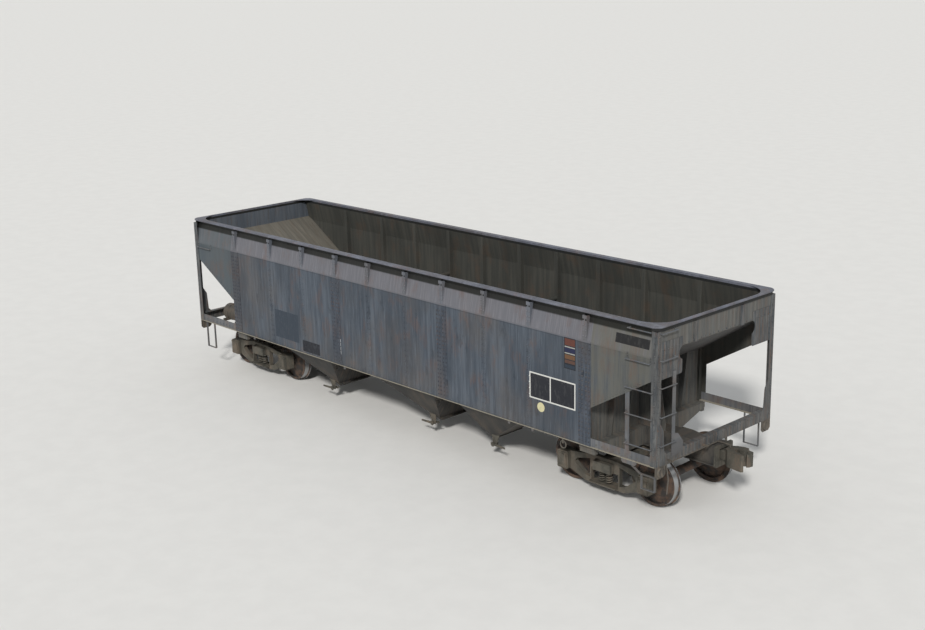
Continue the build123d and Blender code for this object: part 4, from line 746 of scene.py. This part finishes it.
def modified(piece: Object, kind: str, **settings: object) -> None:
    """Add a modifier to a piece and apply it.

    Args:
        piece: The object.
        kind: The modifier's type.
        settings: Its settings.
    """
    select_only(piece)
    modifier = piece.modifiers.new(kind.lower(), kind)
    for key, value in settings.items():
        setattr(modifier, key, value)
    bpy.ops.object.modifier_apply(modifier=modifier.name)


def dressed(piece: Object, body: str, material: Material) -> Object:
    """Give a finished piece its body, slot and material, and report it.

    Args:
        piece: The object.
        body: The body that it moves with.
        material: Its material.

    Returns:
        The same object.
    """
    piece.data.materials.clear()
    piece.data.materials.append(material)
    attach(piece, body)
    log.info("%s on %s, %d faces", piece.name, body, len(piece.data.polygons))
    return piece


def both_sides(near: Object, far_name: str, material: Material) -> None:
    """Finish a piece of the near side and make the far side's, the same turned half round.

    Args:
        near: The near side's piece.
        far_name: The name of the far side's.
        material: The finish of both.
    """
    far = copied(near, turn=HALF_TURN)
    far.name = far_name
    for piece in (near, far):
        dressed(piece, "car_body", material)


@dataclass(frozen=True)
class Viewpoint:
    """Where the picture is taken from, in metres and degrees."""

    place: Point = (18.240, -16.875, 8.953)
    turn: float = 46.558
    down: float = 15.617
    roll: float = -1.279
    focal_px: float = 1336.4
    image_px: float = 925.0
    sensor: float = 36.0
    reach: float = 2000.0

    def build(self) -> None:
        """Make the camera and set it as the scene's."""
        data = bpy.data.cameras.new("viewpoint")
        data.sensor_fit = "HORIZONTAL"
        data.sensor_width = self.sensor
        data.lens = self.focal_px / self.image_px * self.sensor
        data.clip_end = self.reach
        camera = bpy.data.objects.new("viewpoint", data)
        bpy.context.scene.collection.objects.link(camera)
        camera.location = self.place
        aim = Euler((math.radians(90 - self.down), 0, math.radians(self.turn)), "XYZ").to_matrix()
        spin = Euler((0, 0, math.radians(self.roll)), "XYZ").to_matrix()
        camera.rotation_euler = (aim @ spin).to_euler()
        bpy.context.scene.camera = camera


@dataclass(frozen=True)
class Studio:
    """A pale floor, a pale sky and a broad soft sun."""

    floor_half: float = 900.0
    floor_colour: Colour = srgb(226, 225, 222)
    speck: float = 0.5
    sky: Colour = (0.94, 0.97, 1.0)
    sky_strength: float = 0.5
    backdrop: Colour = srgb(232, 232, 230)
    sun: Point = (0.6, -0.8, 0.68)
    sun_strength: float = 2.8
    sun_colour: Colour = (1.0, 0.98, 0.95)
    sun_spread: float = 7.0

    def floor(self) -> None:
        """Make the floor."""
        floor = added(bpy.ops.mesh.primitive_plane_add, size=2 * self.floor_half)
        floor.name = "floor"
        g = Graph("floor")
        speck = g.noise((self.speck,) * 3, 3.0)
        shade = darker(self.floor_colour, 0.97)
        colour = g.mix(g.step(speck, 0.3, 0.7), shade, self.floor_colour)
        floor.data.materials.append(g.finish(colour, 0.9, 0.0, None))

    def world(self) -> None:
        """Make the sky, which the camera and mirrored rays see as a pale backdrop."""
        world = bpy.data.worlds.new("studio")
        world.use_nodes = True
        tree = world.node_tree
        light = tree.nodes["Background"]
        light.inputs["Color"].default_value = (*self.sky, 1)
        light.inputs["Strength"].default_value = self.sky_strength
        seen = tree.nodes.new("ShaderNodeBackground")
        seen.inputs["Color"].default_value = (*self.backdrop, 1)
        path = tree.nodes.new("ShaderNodeLightPath")
        share = path.outputs["Is Camera Ray"]
        for ray in ("Is Glossy Ray", "Is Transmission Ray"):
            either = tree.nodes.new("ShaderNodeMath")
            either.operation = "MAXIMUM"
            tree.links.new(share, either.inputs[0])
            tree.links.new(path.outputs[ray], either.inputs[1])
            share = either.outputs[0]
        mix = tree.nodes.new("ShaderNodeMixShader")
        for output, socket in zip((share, light.outputs[0], seen.outputs[0]), mix.inputs):
            tree.links.new(output, socket)
        tree.links.new(mix.outputs[0], tree.nodes["World Output"].inputs["Surface"])
        bpy.context.scene.world = world

    def build(self) -> None:
        """Make the floor, the world and the lamp."""
        self.floor()
        self.world()
        data = bpy.data.lights.new("sun", "SUN")
        data.energy = self.sun_strength
        data.color = self.sun_colour
        data.angle = math.radians(self.sun_spread)
        sun = bpy.data.objects.new("sun", data)
        sun.rotation_euler = Vector(self.sun).to_track_quat("Z", "Y").to_euler()
        bpy.context.scene.collection.objects.link(sun)


@dataclass(frozen=True)
class Row:
    """A row or a grid of rivets: where it starts, its steps and how many."""

    start: Point
    step: Point
    count: int
    across: Point = (0.0, 0.0, 0.0)
    rows: int = 1
    facing: Facing = Facing.NEAR

    def at(self, x: float) -> "Row":
        """Give the same row moved along the wagon by x."""
        return replace(self, start=(self.start[0] + x, *self.start[1:]))


def both_ways(rows: Iterable[Row], axis: int) -> list[Row]:
    """Give rows and the same rows mirrored.

    Args:
        rows: The rows.
        axis: 0 to mirror them along the wagon, 1 to mirror them across it.

    Returns:
        All the rows.
    """
    both = []
    for row in rows:
        start, step, across = (
            tuple(-v if index == axis else v for index, v in enumerate(vector))
            for vector in (row.start, row.step, row.across)
        )
        both += [row, replace(row, start=start, step=step, across=across)]
    return both


@dataclass(frozen=True)
class Rivets:
    """Domed rivets along the seams of the near side and the right end.

    The far side and the left end are the same turned half round. The rows for splices and stakes are given
    about the middle of their seam.
    """

    head_r: float = 0.016
    head_h: float = 0.011
    splices: tuple[float, ...] = (-4.85, -1.5, 1.5, 4.85)
    stakes: tuple[float, ...] = (-3.62, -2.55, -0.525, 0.525, 2.55, 3.62)
    splice_rows: tuple[Row, ...] = (
        Row((-0.102, -1.552, 1.135), (0, 0, 0.078), 21, (0.06, 0, 0), 2),
        Row((0.042, -1.552, 1.135), (0, 0, 0.078), 21, (0.06, 0, 0), 2),
    )
    stake_row: Row = Row((-0.028, -1.546, 1.135), (0, 0, 0.105), 15, (0.056, 0, 0), 2)
    upper_row: Row = Row((-0.028, -1.546, 2.9), (0, 0, 0.09), 4, (0.056, 0, 0), 2)
    sill_rows: tuple[Row, ...] = (
        Row((-4.7, -1.546, 1.095), (0.085, 0, 0), 36),
        Row((-1.35, -1.546, 1.095), (0.085, 0, 0), 32),
        Row((1.65, -1.546, 1.095), (0.085, 0, 0), 36),
    )
    slope_rows: tuple[Row, ...] = (
        Row((5.05, -1.546, 1.815), (0.0776118, 0, 0.0455676), 13),
        Row((5.1, -1.54, 1.12), (0.12, 0, 0), 9),
    )
    stile_row: Row = Row((5.705, -1.54, 1.315), (0, 0, 0.06), 2, (0, 0, 0.495), 2)
    post_rows: tuple[Row, ...] = (
        Row((6.265, -1.556, 1.16), (0, 0, 0.1), 21),
        Row((5.725, -1.546, 2.765), (0, 0, 0.045), 2, (0.455, 0, 0), 2),
    )
    end_rows: tuple[Row, ...] = (
        Row((6.3, -0.88, 2.93), (0, 0.11, 0), 17, facing=Facing.RIGHT),
        Row((6.31, -1.26, 1.085), (0, 0.12, 0), 22, (0, 0, 0.11), 2, Facing.RIGHT),
    )
    end_post_rows: tuple[Row, ...] = (
        Row((6.31, 1.51, 1.16), (0, 0, 0.1), 21, facing=Facing.RIGHT),
        Row((6.306, 1.42, 2.5), (0, 0, 0.09), 6, facing=Facing.RIGHT),
        Row((6.306, 1.38, 2.93), (0, -0.09, 0), 5, facing=Facing.RIGHT),
    )

    def head(self) -> Object:
        """Model one rivet head that points up.

        Returns:
            The rivet.
        """
        rivet = added(bpy.ops.mesh.primitive_uv_sphere_add, segments=8, ring_count=4, radius=self.head_r)
        bpy.ops.object.mode_set(mode="EDIT")
        bpy.ops.mesh.select_all(action="SELECT")
        bpy.ops.mesh.bisect(plane_co=(0, 0, 0), plane_no=(0, 0, 1), clear_inner=True)
        bpy.ops.mesh.select_all(action="SELECT")
        bpy.ops.transform.resize(value=(1, 1, self.head_h / self.head_r))
        bpy.ops.object.mode_set(mode="OBJECT")
        bpy.ops.object.shade_smooth()
        return rivet

    def layout(self) -> dict[str, list[Row]]:
        """List the rows of each piece.

        Returns:
            The rows by the piece's name.
        """
        stakes = [self.stake_row.at(x) for x in self.stakes]
        upper = [self.upper_row.at(x) for x in (*self.splices, *self.stakes)]
        return {
            "splice_rivets": [row.at(x) for x in self.splices for row in self.splice_rows],
            "side_rivets": [*stakes, *upper, *self.sill_rows, *both_ways(self.slope_rows, 0)],
            "post_rivets": [self.stile_row, *both_ways(self.post_rows, 0)],
            "end_rivets": [*self.end_rows, *both_ways(self.end_post_rows, 1)],
        }

    def row(self, rivet: Object, row: Row) -> Object:
        """Make one row or grid of rivets.

        Args:
            rivet: The rivet that points up.
            row: The row.

        Returns:
            The rivets as one object.
        """
        piece = copied(rivet, turn=row.facing.value)
        for step, count in ((row.step, row.count), (row.across, row.rows)):
            if count > 1:
                modified(
                    piece, "ARRAY", use_relative_offset=False, use_constant_offset=True,
                    constant_offset_displace=step, count=count,
                )
        piece.location = row.start
        settle(piece)
        return piece

    def build(self, made: dict[str, Material]) -> None:
        """Make the rivets of both sides and both ends.

        Args:
            made: The materials by name.
        """
        rivet = self.head()
        # The splice rivets take the darker rivet paint, which is partly painted shade.
        finishes = {"splice_rivets": "rivet", "side_rivets": "side"}
        for name, rows in self.layout().items():
            near = joined([self.row(rivet, row) for row in rows], f"{name}_a")
            both_sides(near, f"{name}_b", made[finishes.get(name, "post")])
        bpy.data.objects.remove(rivet)


@dataclass(frozen=True)
class Springs:
    """Coil springs between each side frame and the bolster, two on a seat, one coil inside another.

    Each coil is given by the radius of its middle line and of its wire.
    """

    coils: tuple[Span, ...] = ((0.050, 0.012), (0.027, 0.008))
    turns: int = 5
    steps: int = 20
    sides: int = 8

    def coil(self, radius: float, wire_r: float, low: float, high: float) -> Object:
        """Model one coil on the Z axis.

        Args:
            radius: The radius of its middle line.
            wire_r: The wire's radius.
            low: The seat's height.
            high: The height of the face above it.

        Returns:
            The coil.
        """
        piece = added(
            bpy.ops.mesh.primitive_circle_add, vertices=self.sides, radius=wire_r, fill_type="NGON",
            location=(radius, 0, low + wire_r), rotation=Facing.NEAR.value,
        )
        rise = (high - low - 2 * wire_r) / self.turns
        modified(
            piece, "SCREW", axis="Z", screw_offset=rise, iterations=self.turns, steps=self.steps,
            render_steps=self.steps, use_normal_calculate=True,
        )
        bpy.ops.object.mode_set(mode="EDIT")
        bpy.ops.mesh.select_all(action="SELECT")
        bpy.ops.mesh.normals_make_consistent(inside=False)
        bpy.ops.object.mode_set(mode="OBJECT")
        bpy.ops.object.shade_smooth()
        return piece

    def build(self, material: Material) -> None:
        """Make the springs of both bogies in place of the plain columns.

        Args:
            material: The springs' finish.
        """
        edge = sum(self.coils[0])
        for end in ("left", "right"):
            node = f"springs_{end}"
            lowest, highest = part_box(node)
            one = joined([self.coil(*sizes, lowest[2], highest[2]) for sizes in self.coils], "coil")
            copies = [
                copied(one, place=(x, y, 0))
                for x in (lowest[0] + edge, highest[0] - edge)
                for y in (lowest[1] + edge, highest[1] - edge)
            ]
            bpy.data.objects.remove(one)
            piece = dressed(joined(copies, f"coil_springs_{end}"), f"bogie_{end}", material)
            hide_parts(node)


@dataclass(frozen=True)
class JournalLids:
    """Pressed lids on the journal boxes, each with a raised middle, a rim and a hinge pin."""

    width: float = 0.150
    height: float = 0.190
    depth: float = 0.012
    raised: float = 0.010
    rim: float = 0.022
    middle_rim: float = 0.03
    edge_r: float = 0.005
    pin_r: float = 0.014
    pin_share: float = 0.6
    pin_y: float = -0.004
    pin_edge: float = 0.003
    lid_z: float = 0.456
    face_y: float = 1.128

    def lid(self) -> Object:
        """Model one lid that faces the near side, about its own middle.

        Returns:
            The lid.
        """
        lid = added(bpy.ops.mesh.primitive_cube_add, size=1, scale=(self.width, self.depth, self.height))
        edit_faces(lid, lambda face: face.normal.y < -0.9)
        for rim, lift in ((self.rim, self.raised), (self.middle_rim, self.raised / 2)):
            bpy.ops.mesh.inset(thickness=rim)
            bpy.ops.transform.translate(value=(0, -lift, 0))
        bpy.ops.object.mode_set(mode="OBJECT")
        modified(lid, "BEVEL", width=self.edge_r, segments=2)
        pin = added(
            bpy.ops.mesh.primitive_cylinder_add, vertices=14, radius=self.pin_r,
            depth=self.width * self.pin_share, rotation=TO_X, location=(0, self.pin_y, self.height / 2),
        )
        modified(pin, "BEVEL", width=self.pin_edge, segments=1)
        lid = joined([lid, pin], "lid")
        bpy.ops.object.shade_smooth_by_angle(angle=SMOOTH_BELOW)
        return lid

    def build(self, material: Material) -> None:
        """Make the lids of both bogies.

        Args:
            material: The lids' finish.
        """
        one = self.lid()
        for end, boxes in JOURNAL_XS.items():
            lids = []
            for x in boxes:
                lids.append(copied(one, place=(x, -self.face_y, self.lid_z)))
                lids.append(copied(one, place=(x, self.face_y, self.lid_z), turn=HALF_TURN))
            dressed(joined(lids, f"journal_lids_{end}"), f"bogie_{end}", material)
        bpy.data.objects.remove(one)


@dataclass(frozen=True)
class TowingRings:
    """A ring on a staple under each side sill, for hauling the wagon with a rope."""

    x: float = 4.37
    y: float = -1.52
    ring_top: float = 1.0
    ring_r: float = 0.062
    wire_r: float = 0.011
    staple_z: float = 1.01
    staple_r: float = 0.02
    staple_h: float = 0.1
    staple_edge: float = 0.004

    def build(self, material: Material) -> None:
        """Make the ring of the near side and its like on the far side.

        Args:
            material: The rings' finish.
        """
        ring = added(
            bpy.ops.mesh.primitive_torus_add, major_radius=self.ring_r, minor_radius=self.wire_r,
            major_segments=28, minor_segments=10, location=(self.x, self.y, self.ring_top - self.ring_r),
            rotation=Facing.NEAR.value,
        )
        staple = added(
            bpy.ops.mesh.primitive_cylinder_add, vertices=16, radius=self.staple_r, depth=self.staple_h,
            location=(self.x, self.y, self.staple_z),
        )
        modified(staple, "BEVEL", width=self.staple_edge, segments=2)
        near = joined([ring, staple], "towing_ring_near")
        bpy.ops.object.shade_smooth_by_angle(angle=SMOOTH_BELOW)
        both_sides(near, "towing_ring_far", material)


# A bolt's sizes as shares of its head's radius.
WASHER_R = 1.3
WASHER_H = 0.22
HEAD_H = 0.75
HEAD_EDGE = 0.12


def hex_bolt(radius: float = 0.017) -> Object:
    """Model a hexagon bolt head on a round washer, pointing up from the origin.

    Args:
        radius: The head's radius over its corners.

    Returns:
        The bolt.
    """
    cylinder = bpy.ops.mesh.primitive_cylinder_add
    washer_h = radius * WASHER_H
    head_h = radius * HEAD_H
    washer = added(
        cylinder, vertices=16, radius=radius * WASHER_R, depth=washer_h, location=(0, 0, washer_h / 2)
    )
    head = added(cylinder, vertices=6, radius=radius, depth=head_h, location=(0, 0, washer_h + head_h / 2))
    modified(head, "BEVEL", width=radius * HEAD_EDGE, segments=1, limit_method="ANGLE")
    return joined([washer, head], "hex_bolt")


@dataclass(frozen=True)
class BoxBolts:
    """Two bolts on each journal box, one on either side above its lid."""

    face_y: float = 1.112
    side_x: float = 0.097
    high_z: float = 0.572

    def build(self, material: Material) -> None:
        """Make the bolts of both bogies.

        Args:
            material: The bolts' finish.
        """
        bolt = hex_bolt()
        for end, boxes in JOURNAL_XS.items():
            bolts = [
                copied(bolt, place=(x + side, -face * self.face_y, self.high_z), turn=facing_side(face))
                for x in boxes
                for side in (-self.side_x, self.side_x)
                for face in (1, -1)
            ]
            dressed(joined(bolts, f"box_bolts_{end}"), f"bogie_{end}", material)
        bpy.data.objects.remove(bolt)


@dataclass(frozen=True)
class TankBands:
    """Straps round the air reservoir and the flange with bolts on the brake cylinder."""

    tank_centre: Point = (-5.620, -1.025, 1.218)
    tank_r: float = 0.175
    strap_w: float = 0.045
    strap_t: float = 0.006
    strap_off: float = 0.19
    strap_bolt_r: float = 0.014
    flange_centre: Point = (-5.720, -0.605, 1.175)
    cylinder_r: float = 0.132
    flange_w: float = 0.016
    flange_t: float = 0.022
    flange_bolts: int = 8
    flange_bolt_r: float = 0.009
    edge_r: float = 0.0015

    def ring(self, centre: Point, radius: float, width: float, thickness: float) -> Object:
        """Model a ring whose axis is X.

        Args:
            centre: Its middle.
            radius: Its inner radius.
            width: Its width along X.
            thickness: Its thickness.

        Returns:
            The ring.
        """
        ring = added(
            bpy.ops.mesh.primitive_cylinder_add, vertices=48, radius=radius, depth=width,
            end_fill_type="NOTHING", location=centre, rotation=TO_X,
        )
        modified(ring, "SOLIDIFY", thickness=thickness, offset=1.0)
        modified(ring, "BEVEL", width=self.edge_r, segments=1, limit_method="ANGLE")
        return ring

    def build(self, material: Material) -> None:
        """Make the straps and the flange.

        Args:
            material: Their finish.
        """
        x, y, z = self.tank_centre
        bolt = hex_bolt(self.strap_bolt_r)
        bands = []
        for strap_x in (x - self.strap_off, x + self.strap_off):
            bands.append(self.ring((strap_x, y, z), self.tank_r, self.strap_w, self.strap_t))
            bands.append(copied(bolt, place=(strap_x, y, z + self.tank_r + self.strap_t)))
        bpy.data.objects.remove(bolt)
        x, y, z = self.flange_centre
        bands.append(self.ring(self.flange_centre, self.cylinder_r, self.flange_w, self.flange_t))
        bolt = hex_bolt(self.flange_bolt_r)
        reach = self.cylinder_r + self.flange_t / 2
        for index in range(self.flange_bolts):
            angle = 2 * math.pi * (index + 0.5) / self.flange_bolts
            place = (x - self.flange_w / 2, y + reach * math.cos(angle), z + reach * math.sin(angle))
            bands.append(copied(bolt, place=place, turn=(0, math.radians(-90), 0)))
        bpy.data.objects.remove(bolt)
        piece = joined(bands, "tank_bands")
        bpy.ops.object.shade_smooth_by_angle(angle=SMOOTH_BELOW)
        dressed(piece, "car_body", material)


@dataclass(frozen=True)
class SillLugs:
    """Small lugs with a bolt under each side sill's lip."""

    places: tuple[float, ...] = (-4.3, -1.3, 3.15, 3.7)
    width: float = 0.04675
    depth: float = 0.02
    height: float = 0.055
    edge_r: float = 0.006
    bolt_r: float = 0.012
    top_z: float = 1.0565
    y: float = -1.545

    def build(self, material: Material) -> None:
        """Make the lugs of both sides.

        Args:
            material: Their finish.
        """
        size = (self.width, self.depth, self.height)
        lug = added(bpy.ops.mesh.primitive_cube_add, size=1, scale=size, location=(0, 0, -self.height / 2))
        modified(lug, "BEVEL", width=self.edge_r, segments=2)
        bolt = hex_bolt(self.bolt_r)
        head = copied(bolt, place=(0, -self.depth / 2, -self.height / 2), turn=Facing.NEAR.value)
        bpy.data.objects.remove(bolt)
        lug = joined([lug, head], "lug")
        near = joined([copied(lug, place=(x, self.y, self.top_z)) for x in self.places], "sill_lugs_a")
        bpy.data.objects.remove(lug)
        both_sides(near, "sill_lugs_b", material)


@dataclass(frozen=True)
class LatchWheels:
    """A toothed wheel and its bolt on the pivot of each door latch.

    Each hopper's lip is given by its X and the way that its door swings.
    """

    lips: tuple[tuple[float, int], ...] = ((-2.2, 1), (0.8, 1), (2.2, -1))
    y: float = 1.105
    z: float = 0.275
    pivot_off: float = 0.1
    root_r: float = 0.036
    tooth: float = 0.012
    teeth: int = 10
    faces_per_tooth: int = 4
    thickness: float = 0.014
    bolt_r: float = 0.015

    def wheel(self) -> Object:
        """Model the toothed wheel that points up, with its bolt.

        Returns:
            The wheel.
        """
        wheel = added(
            bpy.ops.mesh.primitive_cylinder_add, vertices=self.faces_per_tooth * self.teeth,
            radius=self.root_r, depth=self.thickness, location=(0, 0, self.thickness / 2),
        )
        rims = [face.index for face in wheel.data.polygons if abs(face.normal.z) < 0.5]
        raised = set(rims[:: self.faces_per_tooth])
        edit_faces(wheel, lambda face: face.index in raised)
        bpy.ops.mesh.extrude_faces_move(TRANSFORM_OT_shrink_fatten={"value": self.tooth})
        bpy.ops.object.mode_set(mode="OBJECT")
        bolt = hex_bolt(self.bolt_r)
        head = copied(bolt, place=(0, 0, self.thickness))
        bpy.data.objects.remove(bolt)
        return joined([wheel, head], "latch_wheel")

    def build(self, material: Material) -> None:
        """Make the wheels of all six latches.

        Args:
            material: Their finish.
        """
        wheel = self.wheel()
        copies = [
            copied(wheel, place=(lip - way * self.pivot_off, -face * self.y, self.z), turn=facing_side(face))
            for lip, way in self.lips
            for face in (1, -1)
        ]
        bpy.data.objects.remove(wheel)
        dressed(joined(copies, "latch_wheels"), "car_body", material)


def dress_nodes(made: dict[str, Material]) -> None:
    """Give every node of the frame its finish.

    Args:
        made: The materials by name.
    """
    finish_of = {node: name for name, nodes in NODE_FINISH.items() for node in nodes}
    for name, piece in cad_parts.items():
        if name.startswith("wheelset"):
            material = made["wheel"]
        elif name.startswith(CAST_STARTS):
            material = made["cast"]
        elif name.startswith("hopper_door"):
            material = made["door"]
        else:
            material = made[finish_of[name]]
        piece.data.materials.clear()
        piece.data.materials.append(material)


def main() -> None:
    """Build the wagon's looks and its studio."""
    Viewpoint().build()
    Studio().build()
    bpy.context.scene.view_settings.view_transform = "Standard"
    made = {name: finish.build() for name, finish in FINISHES.items()}
    made["wheel"] = RolledSteel().build()
    dress_nodes(made)
    Rivets().build(made)
    Springs().build(made["cast"])
    JournalLids().build(made["cast"])
    TowingRings().build(made["gear"])
    BoxBolts().build(made["cast"])
    TankBands().build(made["gear"])
    SillLugs().build(made["sill"])
    LatchWheels().build(made["cast"])


if __name__ == "__main__":
    logging.basicConfig(level=logging.INFO, format="%(message)s")
    main()
